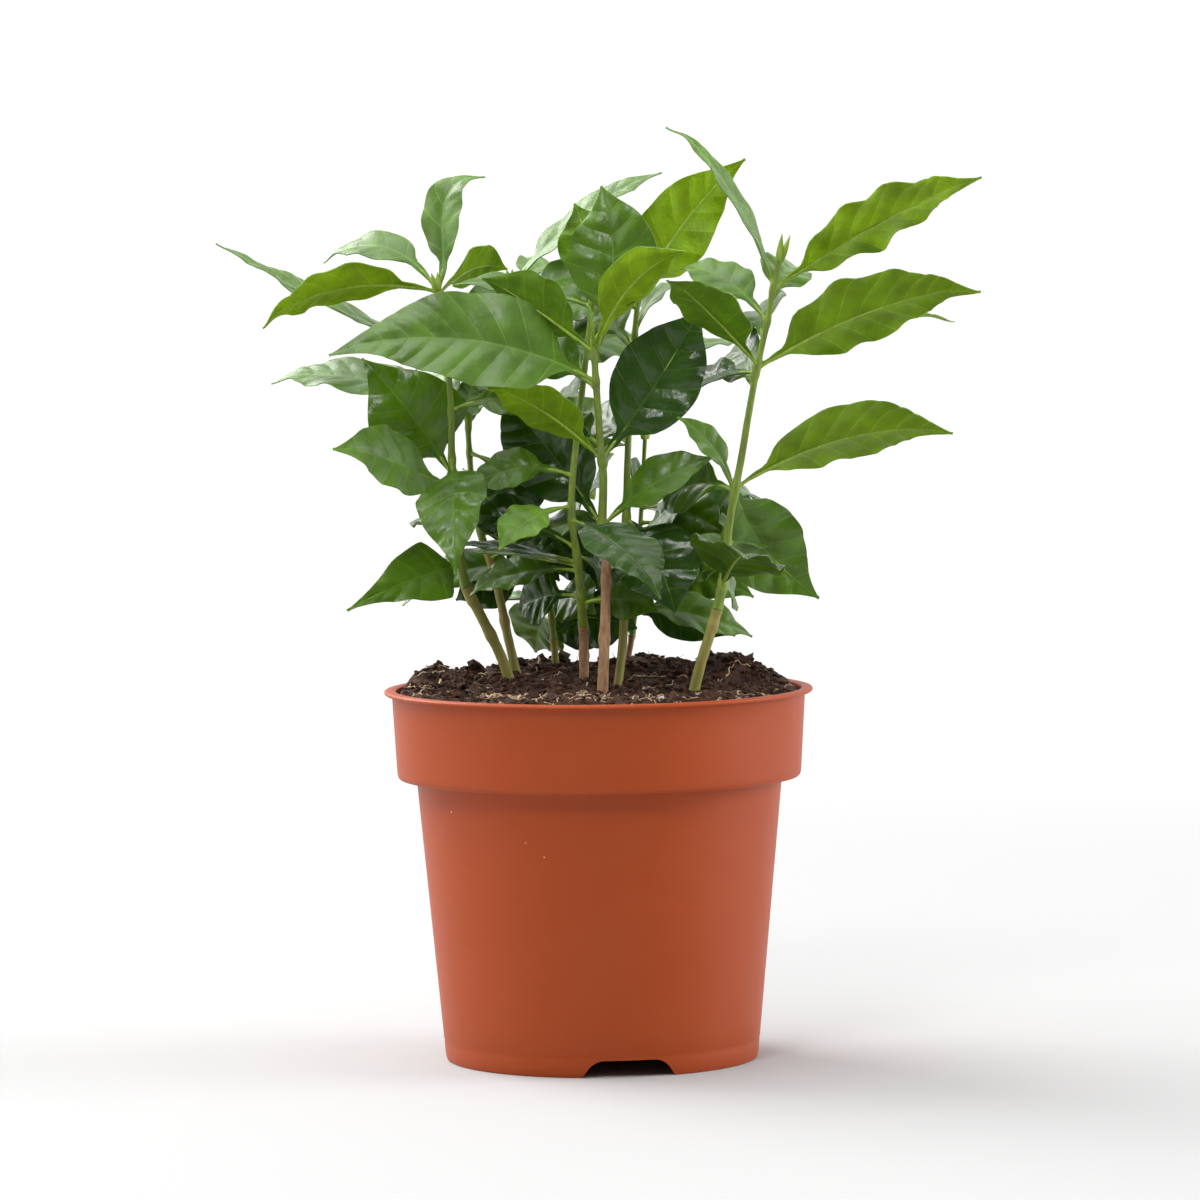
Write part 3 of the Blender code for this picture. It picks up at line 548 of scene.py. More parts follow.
def crumbled_matter(name, base, other, size, roughness, depth):
    """Crumbled or fibrous matter, such as peat or perlite: matt, in two tones, rough at every scale."""
    material, tree, shader = start_material(name, Roughness=roughness)
    place = add_node(tree, "ShaderNodeTexCoord", {}).outputs["Object"]
    tone = add_node(tree, "ShaderNodeTexNoise", {"Scale": 1.0 / (size * MM), "Detail": 6.0, "Roughness": 0.7},
                    [(place, "Vector")])
    share = add_node(tree, "ShaderNodeMapRange", {"From Min": 0.42, "From Max": 0.72},
                     [(tone.outputs["Fac"], "Value")])
    colour = add_node(tree, "ShaderNodeMix", {"data_type": "RGBA", 6: base, 7: other},
                      [(share.outputs["Result"], 0)])
    grain = add_node(tree, "ShaderNodeTexNoise", {"Scale": 2.5 / (size * MM), "Detail": 5.0},
                     [(place, "Vector")])
    bump = add_node(tree, "ShaderNodeBump", {"Strength": 0.9, "Distance": depth * MM},
                    [(grain.outputs["Fac"], "Height")])
    tree.links.new(colour.outputs[2], shader.inputs["Base Color"])
    tree.links.new(bump.outputs[0], shader.inputs["Normal"])
    return material


def stem_skin(name, base, other, roughness, streak, depth):
    """Bark or green rind: streaks that run up the stem, with small corky flecks."""
    material, tree, shader = start_material(name, Roughness=roughness)
    place = add_node(tree, "ShaderNodeTexCoord", {}).outputs["Object"]
    drawn = add_node(tree, "ShaderNodeMapping", {"Scale": (1.0, 1.0, 0.16)}, [(place, "Vector")])
    streaks = add_node(tree, "ShaderNodeTexNoise",
                       {"Scale": 1.0 / (streak * MM), "Detail": 5.0, "Roughness": 0.65},
                       [(drawn.outputs[0], "Vector")])
    share = add_node(tree, "ShaderNodeMapRange", {"From Min": 0.38, "From Max": 0.66},
                     [(streaks.outputs["Fac"], "Value")])
    colour = add_node(tree, "ShaderNodeMix", {"data_type": "RGBA", 6: base, 7: other},
                      [(share.outputs["Result"], 0)])
    bump = add_node(tree, "ShaderNodeBump", {"Strength": 0.8, "Distance": depth * MM},
                    [(streaks.outputs["Fac"], "Height")])
    tree.links.new(colour.outputs[2], shader.inputs["Base Color"])
    tree.links.new(bump.outputs[0], shader.inputs["Normal"])
    return material


def leaf_skin(name, hex_colour, roughness, depth, waxy, bloom):
    """Leaf rind: mottled a little, with the net of its finest veins, waxy on top and matt below.

    The wax scatters a pale bloom where the leaf is seen edge on.
    """
    material, tree, shader = start_material(
        name, Specular_IOR_Level=waxy, IOR=1.45, Sheen_Weight=bloom, Sheen_Roughness=0.45,
        Subsurface_Weight=0.4, Subsurface_Radius=(1.0, 1.0, 0.3), Subsurface_Scale=0.8 * MM)
    colour = linear(hex_colour)[:3]
    darker = (*(channel * 0.72 for channel in colour), 1.0)
    lighter = (*(min(channel * 1.22, 1.0) for channel in colour), 1.0)
    place = add_node(tree, "ShaderNodeTexCoord", {}).outputs["Object"]
    mottle = add_node(tree, "ShaderNodeTexNoise",
                      {"Scale": 1.0 / (8.0 * MM), "Detail": 4.0, "Roughness": 0.6},
                      [(place, "Vector")])
    share = add_node(tree, "ShaderNodeMapRange", {"From Min": 0.3, "From Max": 0.7},
                     [(mottle.outputs["Fac"], "Value")])
    body = add_node(tree, "ShaderNodeMix", {"data_type": "RGBA", 6: darker, 7: lighter},
                    [(share.outputs["Result"], 0)])
    # the finest veins are 0.3 mm apart; the net is drawn at 1.5 mm so that it shows
    net = add_node(tree, "ShaderNodeTexVoronoi", {"feature": "DISTANCE_TO_EDGE", "Scale": 1.0 / (1.5 * MM)},
                   [(place, "Vector")])
    ridge = add_node(tree, "ShaderNodeMapRange", {"From Max": 0.16}, [(net.outputs["Distance"], "Value")])
    pucker = add_node(tree, "ShaderNodeTexNoise", {"Scale": 1.0 / (PUCKER_SIZE * MM), "Detail": 2.0},
                      [(place, "Vector")])
    gloss = add_node(tree, "ShaderNodeMapRange", {"To Min": roughness - 0.06, "To Max": roughness + 0.08},
                     [(mottle.outputs["Fac"], "Value")])
    creases = add_node(tree, "ShaderNodeBump", {"Strength": 0.8, "Distance": PUCKER_DEPTH * MM},
                       [(pucker.outputs["Fac"], "Height")])
    bump = add_node(tree, "ShaderNodeBump", {"Strength": 0.7, "Distance": depth * MM},
                    [(ridge.outputs["Result"], "Height"), (creases.outputs[0], "Normal")])
    tree.links.new(body.outputs[2], shader.inputs["Base Color"])
    tree.links.new(gloss.outputs["Result"], shader.inputs["Roughness"])
    tree.links.new(bump.outputs[0], shader.inputs["Normal"])
    return material


def floor_paint(settings):
    """Matt white paint on a studio floor, which fades into an evenly lit white surround."""
    material, tree, shader = start_material("matt white floor paint", Base_Color=settings.floor,
                                            Roughness=0.85)
    place = add_node(tree, "ShaderNodeTexCoord", {}).outputs["Object"]
    reach = add_node(tree, "ShaderNodeVectorMath", {"operation": "LENGTH"}, [(place, 0)])
    share = add_node(tree, "ShaderNodeMapRange",
                     {"interpolation_type": "SMOOTHSTEP", "From Min": FADE_START, "From Max": FADE_END},
                     [(reach.outputs["Value"], "Value")])
    surround = add_node(tree, "ShaderNodeEmission", {"Strength": SURROUND_STRENGTH})
    mix = add_node(tree, "ShaderNodeMixShader", {},
                   [(share.outputs["Result"], 0), (shader.outputs[0], 1), (surround.outputs[0], 2)])
    tree.links.new(mix.outputs[0], tree.nodes["Material Output"].inputs["Surface"])
    return material


# ---------------------------------------------------------------- the hand's tools

def clear_selection():
    """Leave edit mode and select nothing."""
    if bpy.context.mode != "OBJECT":
        bpy.ops.object.mode_set(mode="OBJECT")
    bpy.ops.object.select_all(action="DESELECT")


def pick(*pieces):
    """Select these pieces only, and make the first of them active."""
    clear_selection()
    for piece in pieces:
        piece.select_set(True)
    bpy.context.view_layer.objects.active = pieces[0]


def edit_all():
    """Enter edit mode with the whole of the active mesh selected."""
    bpy.ops.object.mode_set(mode="EDIT")
    bpy.ops.mesh.select_all(action="SELECT")


def face_outward():
    """Turn all faces outward and leave edit mode."""
    bpy.ops.mesh.select_all(action="SELECT")
    bpy.ops.mesh.normals_make_consistent(inside=False)
    bpy.ops.object.mode_set(mode="OBJECT")


def apply_modifiers(piece):
    """Apply a piece's modifiers in their order."""
    pick(piece)
    for modifier in list(piece.modifiers):
        bpy.ops.object.modifier_apply(modifier=modifier.name)


def join_pieces(pieces):
    """Join pieces into the first of them."""
    pick(*pieces)
    bpy.ops.object.join()
    return bpy.context.object


def finish_piece(piece, name, nodes, angle):
    """Name a piece, smooth it, hang it from the root body, and hide the nodes it stands for."""
    pick(piece)
    piece.name = name
    piece.data.name = name
    bpy.ops.object.shade_smooth_by_angle(angle=math.radians(angle))
    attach(piece, "root")
    if nodes:
        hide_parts(*nodes)
    return piece


def raise_rings(profile, sides):
    """A closed solid of revolution: a ring drawn through a profile of radius and height, in millimetres."""
    clear_selection()
    radius, height = profile[0]
    bpy.ops.mesh.primitive_circle_add(vertices=sides, radius=radius * MM, location=(0.0, 0.0, 0.0))
    piece = bpy.context.object
    edit_all()
    bpy.ops.transform.translate(value=(0.0, 0.0, height * MM))
    bpy.ops.mesh.edge_face_add()
    for new_radius, new_height in profile[1:]:
        rise = (0.0, 0.0, (new_height - height) * MM)
        bpy.ops.mesh.extrude_region_move(TRANSFORM_OT_translate={"value": rise})
        share = new_radius / radius
        bpy.ops.transform.resize(value=(share, share, 1.0), center_override=(0.0, 0.0, new_height * MM))
        radius, height = new_radius, new_height
    bpy.ops.mesh.poke()
    bpy.ops.mesh.select_all(action="DESELECT")
    bpy.ops.mesh.select_non_manifold(extend=False, use_wire=False, use_boundary=True, use_multi_face=False,
                                     use_non_contiguous=False, use_verts=False)
    bpy.ops.mesh.edge_face_add()
    bpy.ops.mesh.poke()
    face_outward()
    return piece


def strands_mesh(strands, sides, materials):
    """One mesh of round strands: each the points and radii in millimetres, and which material it has."""
    clear_selection()
    bpy.ops.curve.primitive_nurbs_path_add(location=(0.0, 0.0, 0.0))
    piece = bpy.context.object
    curve = piece.data
    curve.splines.clear()
    curve.dimensions = "3D"
    curve.bevel_depth = MM
    curve.bevel_resolution = max((sides - 4) // 2, 0)
    curve.use_fill_caps = True
    for material in materials:
        curve.materials.append(material)
    for points, radii, material_number in strands:
        spline = curve.splines.new("POLY")
        spline.material_index = material_number
        spline.points.add(len(points) - 1)
        for knot, point, radius in zip(spline.points, points, radii):
            knot.co = (*(Vector(point) * MM), 1.0)
            knot.radius = radius
    bpy.ops.object.convert(target="MESH")
    edit_all()
    bpy.ops.mesh.remove_doubles(threshold=0.001 * MM)
    face_outward()
    return bpy.context.object


def copies_of(template, places):
    """One mesh of many deformed copies of a template's points and faces."""
    points, faces = template
    verts, polygons = [], []
    for turn, middle, size, seed in places:
        start = len(verts)
        for point in points:
            place = point + Vector((seed, 0.0, 0.0))
            rough = 1.0 + 0.6 * noise.noise(place * 1.3) + 0.7 * noise.noise(place * 2.9)
            verts.append((middle + turn @ (point * rough) * size) * MM)
        polygons.extend([tuple(start + number for number in face) for face in faces])
    mesh = bpy.data.meshes.new("copies")
    mesh.from_pydata(verts, [], polygons)
    mesh.update()
    piece = bpy.data.objects.new("copies", mesh)
    bpy.context.scene.collection.objects.link(piece)
    return piece


def ball_template(subdivisions):
    """The points and faces of a unit ball, modelled once to be copied."""
    clear_selection()
    bpy.ops.mesh.primitive_ico_sphere_add(subdivisions=subdivisions, radius=1.0, location=(0.0, 0.0, 0.0))
    ball = bpy.context.object
    points = [vert.co.copy() for vert in ball.data.vertices]
    faces = [tuple(face.vertices) for face in ball.data.polygons]
    bpy.data.objects.remove(ball, do_unlink=True)
    return points, faces


def direction(turn, rise):
    """The unit direction at a turn round the pot and a rise over level, in degrees."""
    turn, rise = math.radians(turn), math.radians(rise)
    return Vector((math.cos(turn) * math.cos(rise), math.sin(turn) * math.cos(rise), math.sin(rise)))


def smooth_step(low, high, value):
    """Rises smoothly from 0 to 1 as a value runs from low to high."""
    share = min(max((value - low) / (high - low), 0.0), 1.0)
    return share * share * (3.0 - 2.0 * share)


# ---------------------------------------------------------------- pot and soil

def pot_profile(groove):
    """Radius and height from the underside out, up the outside and back down the inside.

    Each row of a table is a corner of the pot, and the steps outward and upward from it.
    """
    lip_foot = POT_HEIGHT - LIP_HEIGHT
    collar_foot = POT_HEIGHT - COLLAR_HEIGHT
    body_foot, body_top = 7.0 * EASE, collar_foot - 3.0 * EASE

    def traced(*corners):
        return [(radius + out, height + up) for radius, height, steps in corners for out, up in steps]

    def body(height):
        return BASE_RADIUS + (BODY_TOP_RADIUS - BASE_RADIUS) * (height - body_foot) / (body_top - body_foot)

    low, high = GROOVE_HEIGHT - GROOVE_WIDTH, GROOVE_HEIGHT + GROOVE_WIDTH
    foot = traced(
        (0.0, FLOOR_HEIGHT, ((1.0, 0.0), (20.0, 0.0))),
        (BASE_RADIUS - FOOT_WIDTH, FLOOR_HEIGHT, ((-0.5, 0.0), (-0.1, -0.4))),
        (BASE_RADIUS - FOOT_WIDTH, 0.0, ((0.0, 0.3), (0.25, 0.0))),
        (BASE_RADIUS, 0.0, ((-3.0 * EASE, 0.0), (-1.6 * EASE, 0.15), (-EASE, 2.0 * EASE), (0.0, body_foot))))
    wall = [(body(low), low), (body(GROOVE_HEIGHT) - groove, GROOVE_HEIGHT), (body(high), high)]
    wall += [(body(height), height) for height in (12.0, 20.0, 28.0, 36.0, 44.0, 52.0, 60.0, 68.0, 74.0)]
    collar = traced(
        (BODY_TOP_RADIUS, collar_foot, ((0.0, -3.0 * EASE), (0.2, -0.4), (2.0 * EASE, -0.1))),
        (COLLAR_FOOT_RADIUS, collar_foot, ((-5.0 * EASE, 0.1), (-2.2 * EASE, 0.25), (-EASE, 2.0 * EASE),
                                           (-0.08, 1.3), (0.0, 7.0 * EASE))))
    flare = COLLAR_TOP_RADIUS - COLLAR_FOOT_RADIUS
    rise = COLLAR_HEIGHT - 2.7 - LIP_HEIGHT
    collar += [(COLLAR_FOOT_RADIUS + flare * share, collar_foot + 2.1 + rise * share)
               for share in (0.25, 0.5, 0.75)]
    lip = traced(
        (COLLAR_TOP_RADIUS, lip_foot, ((0.0, -2.0 * EASE), (0.15, -0.2), (0.4, -0.03))),
        (RIM_RADIUS, lip_foot, ((-3.0 * EASE, 0.0), (-0.4, 0.06), (-0.1, 0.3))),
        (RIM_RADIUS, POT_HEIGHT, ((0.0, -2.0 * EASE), (-0.1, -0.35), (-EASE, -0.15), (-3.0 * EASE, 0.0))),
        (COLLAR_TOP_RADIUS - WALL, POT_HEIGHT, ((2.0 * EASE, -0.05), (0.2, -0.3), (0.0, -3.0 * EASE))))
    inside = traced(
        (-WALL, collar_foot, ((COLLAR_FOOT_RADIUS, 7.0 * EASE), (BODY_TOP_RADIUS, -0.2))),
        (-WALL, FLOOR_HEIGHT + WALL, ((BASE_RADIUS, 3.0 * EASE), (BASE_RADIUS - 3.0 * EASE, 0.0))),
        (0.0, FLOOR_HEIGHT + WALL, ((1.0, 0.0),)))
    return foot + wall + collar + lip + inside


def arch_bar(turn):
    """A bar that cuts one arch through the skirt: a cube, narrowed at its top and eased there."""
    clear_selection()
    bpy.ops.mesh.primitive_cube_add(size=1.0, location=(0.0, 0.0, 0.0))
    bar = bpy.context.object
    height = FLOOR_HEIGHT + ARCH_EASE
    edit_all()
    bpy.ops.transform.resize(value=(ARCH_RUN * MM, (ARCH_FOOT_WIDTH + ARCH_EASE) * MM, height * MM),
                             center_override=(0.0, 0.0, 0.0))
    bpy.ops.transform.translate(value=((ARCH_START + ARCH_RUN / 2.0) * MM, 0.0,
                                       (FLOOR_HEIGHT - height / 2.0) * MM))
    bpy.ops.mesh.select_all(action="DESELECT")
    bpy.ops.object.mode_set(mode="OBJECT")
    for vert in bar.data.vertices:
        vert.select = vert.co.z > 0.5 * FLOOR_HEIGHT * MM
    bpy.ops.object.mode_set(mode="EDIT")
    narrow = ARCH_TOP_WIDTH / ARCH_FOOT_WIDTH
    bpy.ops.transform.resize(value=(1.0, narrow, 1.0), center_override=(0.0, 0.0, 0.0))
    bpy.ops.mesh.select_mode(type="EDGE")
    bpy.ops.mesh.bevel(offset=ARCH_ROUND * MM, segments=6, affect="EDGES")
    bpy.ops.mesh.select_mode(type="VERT")
    bpy.ops.object.mode_set(mode="OBJECT")
    bar.rotation_euler = (0.0, 0.0, math.radians(turn))
    pick(bar)
    bpy.ops.object.transform_apply(location=True, rotation=True, scale=True)
    return bar


def soil_height(x, y):
    """Height of the soil: level at the front, heaped towards the back."""
    height = SOIL_LEVEL + SOIL_BACK_RISE * smooth_step(*SOIL_RISE, y)
    for heap_x, heap_y, radius, rise in SOIL_HEAPS:
        away = ((x - heap_x) ** 2 + (y - heap_y) ** 2) / radius ** 2
        height += rise * math.exp(-away)
    return height


def soil_relief(x, y, relief):
    """Crumbs and hollows on the soil's surface, in millimetres."""
    point = Vector((x, y, 0.0))
    broad = noise.noise(point / 8.0)
    lumps = 0.5 - noise.voronoi(point / 3.1)[0][0]
    grit = noise.fractal(point / 2.2, 1.0, 2.0, 3)
    edge = 1.0 - smooth_step(50.0, 55.5, math.hypot(x, y))
    return relief * (0.6 * broad + 0.9 * lumps + 0.5 * grit) * (0.35 + 0.65 * edge)


def soil_surface(x, y, relief):
    """Height of the soil with its relief, in millimetres."""
    return soil_height(x, y) + soil_relief(x, y, relief)


def somewhere(rng, radius):
    """A place drawn evenly within a radius, and how far out it is."""
    reach = radius * math.sqrt(rng.random())
    angle = rng.uniform(0.0, math.tau)
    return reach * math.cos(angle), reach * math.sin(angle), reach


def strew(template, rng, count, sizes, sunk, relief, slim=(0.6, 1.0)):
    """One mesh of rough bits strewn over the soil, of sizes in millimetres and slimmed two ways."""
    places = []
    for number in range(count):
        x, y, reach = somewhere(rng, STREWN_REACH)
        size = rng.uniform(*sizes)
        if reach + size > STREWN_EDGE:
            continue
        turn = (Matrix.Rotation(rng.uniform(0.0, math.tau), 3, "Z")
                @ Matrix.Rotation(rng.uniform(0.0, math.tau), 3, "X")
                @ Matrix.Diagonal((1.0, rng.uniform(*slim), rng.uniform(*slim))))
        middle = Vector((x, y, soil_surface(x, y, relief) + size * sunk))
        places.append((turn, middle, size, rng.uniform(0.0, 90.0)))
    return copies_of(template, places)


def root_strands(rng, count, relief):
    """Fine roots that wander over the soil, half of them in a strip at the front."""
    strands = []
    for number in range(count):
        x, y, reach = somewhere(rng, ROOT_REACH)
        if number % 2:
            x, y = rng.uniform(*ROOT_STRIP[0]), rng.uniform(*ROOT_STRIP[1])
        heading = rng.uniform(0.0, math.tau)
        radius = rng.uniform(*ROOT_RADII)
        lift = rng.uniform(0.1, 1.0)
        points = []
        for step in range(rng.randint(*ROOT_STEPS)):
            heading += rng.uniform(-0.55, 0.55)
            x, y = x + ROOT_STEP * math.cos(heading), y + ROOT_STEP * math.sin(heading)
            if math.hypot(x, y) > STREWN_REACH:
                break
            points.append(Vector((x, y, soil_surface(x, y, relief) + radius * 0.8 + lift * rng.random())))
        if len(points) > 4:
            taper = [radius * (1.0 - 0.6 * step / len(points)) for step in range(len(points))]
            strands.append((points, taper, 0))
    return strands


def fibre_strands(rng, count, relief):
    """Short bent fibres that stand a little out of the soil."""
    strands = []
    for number in range(count):
        x, y, reach = somewhere(rng, FIBRE_REACH)
        ahead = direction(rng.uniform(0.0, 360.0), rng.uniform(-10.0, 40.0))
        bend = direction(rng.uniform(0.0, 360.0), 0.0) * rng.uniform(0.0, 0.5)
        radius, length = rng.uniform(*FIBRE_RADII), rng.uniform(*FIBRE_LENGTHS)
        start = Vector((x, y, soil_surface(x, y, relief)))
        points = [start + (ahead + bend * share) * (length * share) for share in (0.0, 0.25, 0.5, 0.75, 1.0)]
        if math.hypot(points[-1].x, points[-1].y) < STREWN_REACH:
            strands.append((points, [radius * (1.0 - 0.2 * step) for step in range(5)], 1))
    return strands


# ---------------------------------------------------------------- stems

def smooth_path(guide, count):
    """Points at even steps along a smooth curve through the guide points."""
    points = [Vector(point) for point in guide]
    points = [2 * points[0] - points[1]] + points + [2 * points[-1] - points[-2]]
    spans = len(points) - 3
    path = []
    for step in range(count):
        place = spans * step / (count - 1)
        span = min(int(place), spans - 1)
        t = place - span
        a, b, c, d = points[span:span + 4]
        path.append(0.5 * (2 * b + (c - a) * t + (2 * a - 5 * b + 4 * c - d) * t ** 2
                           + (3 * b - a - 3 * c + d) * t ** 3))
    return path


def at_height(path, height):
    """The point of a rising path at a height."""
    for low, high in zip(path, path[1:]):
        if high.z >= height:
            share = (height - low.z) / (high.z - low.z)
            return low.lerp(high, share)
    return path[-1].copy()


def stem_path(seedling):
    """The stem's path from its foot in the soil to its top."""
    guide = list(seedling["guide"])
    foot_x, foot_y = guide[0][0], guide[0][1]
    guide[0] = (foot_x, foot_y, soil_height(foot_x, foot_y) - PLANTING_DEPTH)
    return smooth_path(guide, PATH_POINTS)


def stem_radius(seedling, height):
    """The solid stem's radius at a height, in millimetres."""
    foot, top = seedling["radii"]
    low, high = SOIL_LEVEL, seedling["guide"][-1][2]
    share = min(max((height - low) / (high - low), 0.0), 1.0)
    return foot + (top - foot) * share


# ---------------------------------------------------------------- leaves

def bulge(share, peak):
    """How far a leaf arches up at a share of its length: 1 at its peak, 0 at both ends."""
    power = peak / (1.0 - peak)
    return share ** power * (1.0 - share) / (peak ** power * (1.0 - peak))


def half_width(share):
    """Outline of a coffee leaf: narrow at both ends, with a drawn-out tip."""
    taper = 1.0 - TIP_TAPER * smooth_step(TIP_START, 1.0, share)
    return max(math.sin(math.pi * share ** OUTLINE_SKEW), 0.0) ** OUTLINE_POWER * taper


def leaf_shape(root, leaf):
    """A function that gives a leaf's middle, side and face directions, half width and thickness.

    It takes a share of the blade from 0 to 1, and from -1 to 0 along the leaf stalk.
    """
    ahead = direction(leaf.turn, leaf.rise)
    across = direction(leaf.turn - 90.0, 0.0)
    upward = across.cross(ahead)
    petiole = leaf.traits.get("petiole", PETIOLE_LENGTH) / leaf.length
    peak = leaf.traits.get("peak", 0.5)
    sweep = leaf.traits.get("sweep", 0.0)
    roll = math.radians(leaf.roll)

    def middle(s):
        return (root + leaf.length * (s * ahead + leaf.arch * bulge(s, peak) * upward
                                      + sweep * 4.0 * s * (1.0 - s) * across))

    def shape_at(share):
        s = petiole * (1.0 + share) if share < 0.0 else petiole + (1.0 - petiole) * share
        along = (middle(min(s + 0.01, 1.0)) - middle(max(s - 0.01, 0.0))).normalized()
        side = across * math.cos(roll) + upward * math.sin(roll)
        side = (side - along * side.dot(along)).normalized()
        half = PETIOLE_THICKNESS / 2.0
        thick = PETIOLE_THICKNESS
        if share > 0.0:
            half = max(0.5 * leaf.width * half_width(share ** leaf.traits.get("belly", 1.0)), NARROWEST)
            thick = LEAF_THICKNESS
        return middle(s), side, side.cross(along), half, thick

    return shape_at


def leaf_sections(root, leaf):
    """Where the leaf stalk starts, then the stations of the blade."""
    shape_at = leaf_shape(root, leaf)
    return [shape_at(share) for share in (-1.0, *leaf.traits.get("stations", BLADE_STATIONS))]


def leaf_points(sections, thicker):
    """Rings of six points round the leaf, which is folded a little along its middle."""
    fold = math.radians(FOLD)
    rings = []
    for middle, side, face, half, thick in sections:
        rim = face * half * math.sin(fold)
        reach = side * (half * math.cos(fold) + thicker)
        lift = face * (thick / 2.0 + thicker)
        rings.append([middle - reach + rim - lift, middle - lift, middle + reach + rim - lift,
                      middle + reach + rim + lift, middle + lift, middle - reach + rim + lift])
    return rings


def blade_tree(sections):
    """A search tree of these sections of a blade, a clearance thicker than it is."""
    rings = leaf_points(sections, CLEARANCE)
    verts = [point for ring in rings for point in ring]
    faces = []
    for row in range(len(rings) - 1):
        for k in range(6):
            ahead = (k + 1) % 6
            low, high = row * 6, (row + 1) * 6
            faces.append((low + k, low + ahead, high + ahead, high + k))
    last = (len(rings) - 1) * 6
    for start in (0, last):
        faces.append((start, start + 1, start + 4, start + 5))
        faces.append((start + 1, start + 2, start + 3, start + 4))
    return BVHTree.FromPolygons(verts, faces)


def stem_tree(seedling):
    """A search tree of the whole stem, a clearance thicker than it is."""
    points, faces = [], []
    path = seedling["path"][::3]
    for row, point in enumerate(path):
        radius = stem_radius(seedling, point.z) + CLEARANCE
        for k in range(6):
            points.append(point + direction(60.0 * k, 0.0) * radius)
            if row:
                here, ahead = row * 6 + k, row * 6 + (k + 1) % 6
                faces.append((here, ahead, ahead - 6, here - 6))
    return BVHTree.FromPolygons(points, faces)


class Crown:
    """The places that stems and settled leaves take up."""

    def __init__(self):
        self.taken = [(name, stem_tree(seedling), None) for name, seedling in SEEDLINGS.items()]

    def is_clear(self, name, whole, outer):
        """A leaf keeps off other seedlings, and off its own seedling away from its root."""
        for owner, other_whole, other_outer in self.taken:
            if owner != name and whole.overlap(other_whole):
                return False
            if owner == name and other_outer and outer.overlap(other_outer):
                return False
        return True

    def settle(self, name, leaf):
        """Take a leaf's place if it is clear, and keep it."""
        seedling = SEEDLINGS[name]
        root = at_height(seedling["path"], leaf.height)
        sections = leaf_sections(root, leaf)
        whole, outer = blade_tree(sections[1:]), blade_tree(sections[3:])
        if not self.is_clear(name, whole, outer):
            return False
        self.taken.append((name, whole, outer))
        seedling["settled"].append((root, leaf))
        return True

    def settle_near(self, name, leaf, sign, anywhere):
        """Settle a leaf as near to its place as it can be, or leave it out."""
        for turned_by, raised_by in give_way_steps(sign):
            moved = leaf._replace(turn=leaf.turn + turned_by, rise=leaf.rise + raised_by)
            if (anywhere or keeps_to_crown(name, moved)) and self.settle(name, moved):
                return


def shade_leaf(rng, share, low, high):
    """A leaf drawn by rule: it lies level, and tips its face to the front."""
    turn = rng.uniform(0.0, 360.0)
    tilt = -SHADE_TIP if math.cos(math.radians(turn)) > 0.0 else SHADE_TIP
    length = rng.uniform(*SHADE_LENGTH)
    height = low + (high - low) * share + rng.uniform(-SHADE_JITTER, SHADE_JITTER)
    return Leaf(height, turn, rng.uniform(*SHADE_RISE), length, length * rng.uniform(*SHADE_SHAPE),
                tilt * rng.uniform(*SHADE_TIP_SHARE), rng.uniform(*SHADE_ARCH), None,
                {"stations": SHADE_STATIONS})


def keeps_to_crown(name, leaf):
    """A shade leaf stays behind the front leaves, inside the crown and off its openings."""
    root = at_height(SEEDLINGS[name]["path"], leaf.height)
    for middle, side, face, half, thick in leaf_sections(root, leaf)[1:]:
        if not SHADE_FRONT <= middle.y <= SHADE_BACK or abs(middle.x) > SHADE_SIDE or middle.z > SHADE_TOP:
            return False
        for point in (middle - side * half, middle, middle + side * half):
            for left, right, bottom, top in CROWN_GAPS:
                if left < point.x < right and bottom < point.z < top:
                    return False
    return True


def give_way_steps(sign):
    """Small turns and rises, smallest first."""
    yield 0.0, 0.0
    for step in GIVE_WAY_STEPS:
        yield sign * step, 0.0
        yield -sign * step, 0.0
        yield 0.0, step / 2.0
        yield 0.0, -step / 2.0


def settle_leaves():
    """Give every leaf its place, once: one that would touch gives way in small turns, or is left out."""
    if "settled" in SEEDLINGS["front"]:
        return
    rng = random.Random(SEED)
    for seedling in SEEDLINGS.values():
        seedling["path"] = stem_path(seedling)
        seedling["settled"] = []
    crown = Crown()
    for name, seedling in SEEDLINGS.items():
        for row in seedling["leaves"]:
            crown.settle_near(name, Leaf(*row), rng.choice((-1.0, 1.0)), True)
    for name, seedling in SEEDLINGS.items():
        count, low, high = seedling["shade"]
        for number in range(count):
            for attempt in range(SHADE_TRIES):
                leaf = shade_leaf(rng, (number + 0.5) / count, low, high)
                if keeps_to_crown(name, leaf) and crown.settle(name, leaf):
                    break
    for name, row in UNDERGROWTH:
        crown.settle_near(name, Leaf(*row), 1.0, False)


def vein_rows(blade):
    """Rows across a blade of this length: each its share, its place between two veins, and the gap there."""
    pairs = min(max(round(blade / VEIN_SPACING), VEIN_PAIRS[0]), VEIN_PAIRS[1])
    half = 0.5 * VEIN_WIDTH / blade
    veins = [(number + 0.75) / (pairs + 0.95) for number in range(pairs)]
    rows = [(share, 0.0, 0.0) for share in WING_ROWS] + [(0.0, 0.35, 0.5)]
    before = 0.0
    for number, vein in enumerate(veins):
        for step in range(1, ROWS_BETWEEN_VEINS + 1):
            place = step / (ROWS_BETWEEN_VEINS + 1.0)
            swell = 0.35 + 0.65 * place if number == 0 else place
            rows.append((before + (vein - half - before) * place, swell, 0.5 if number == 0 else 1.0))
        rows += [(vein - half, 1.0, 1.0), (vein + half, 0.0, 1.0)]
        before = vein + half
    for step in range(1, 2 * ROWS_BETWEEN_VEINS + 1):
        place = step / (2 * ROWS_BETWEEN_VEINS)
        rows.append((before + (1.0 - before) * place, 0.5 * place, 0.4))
    return rows


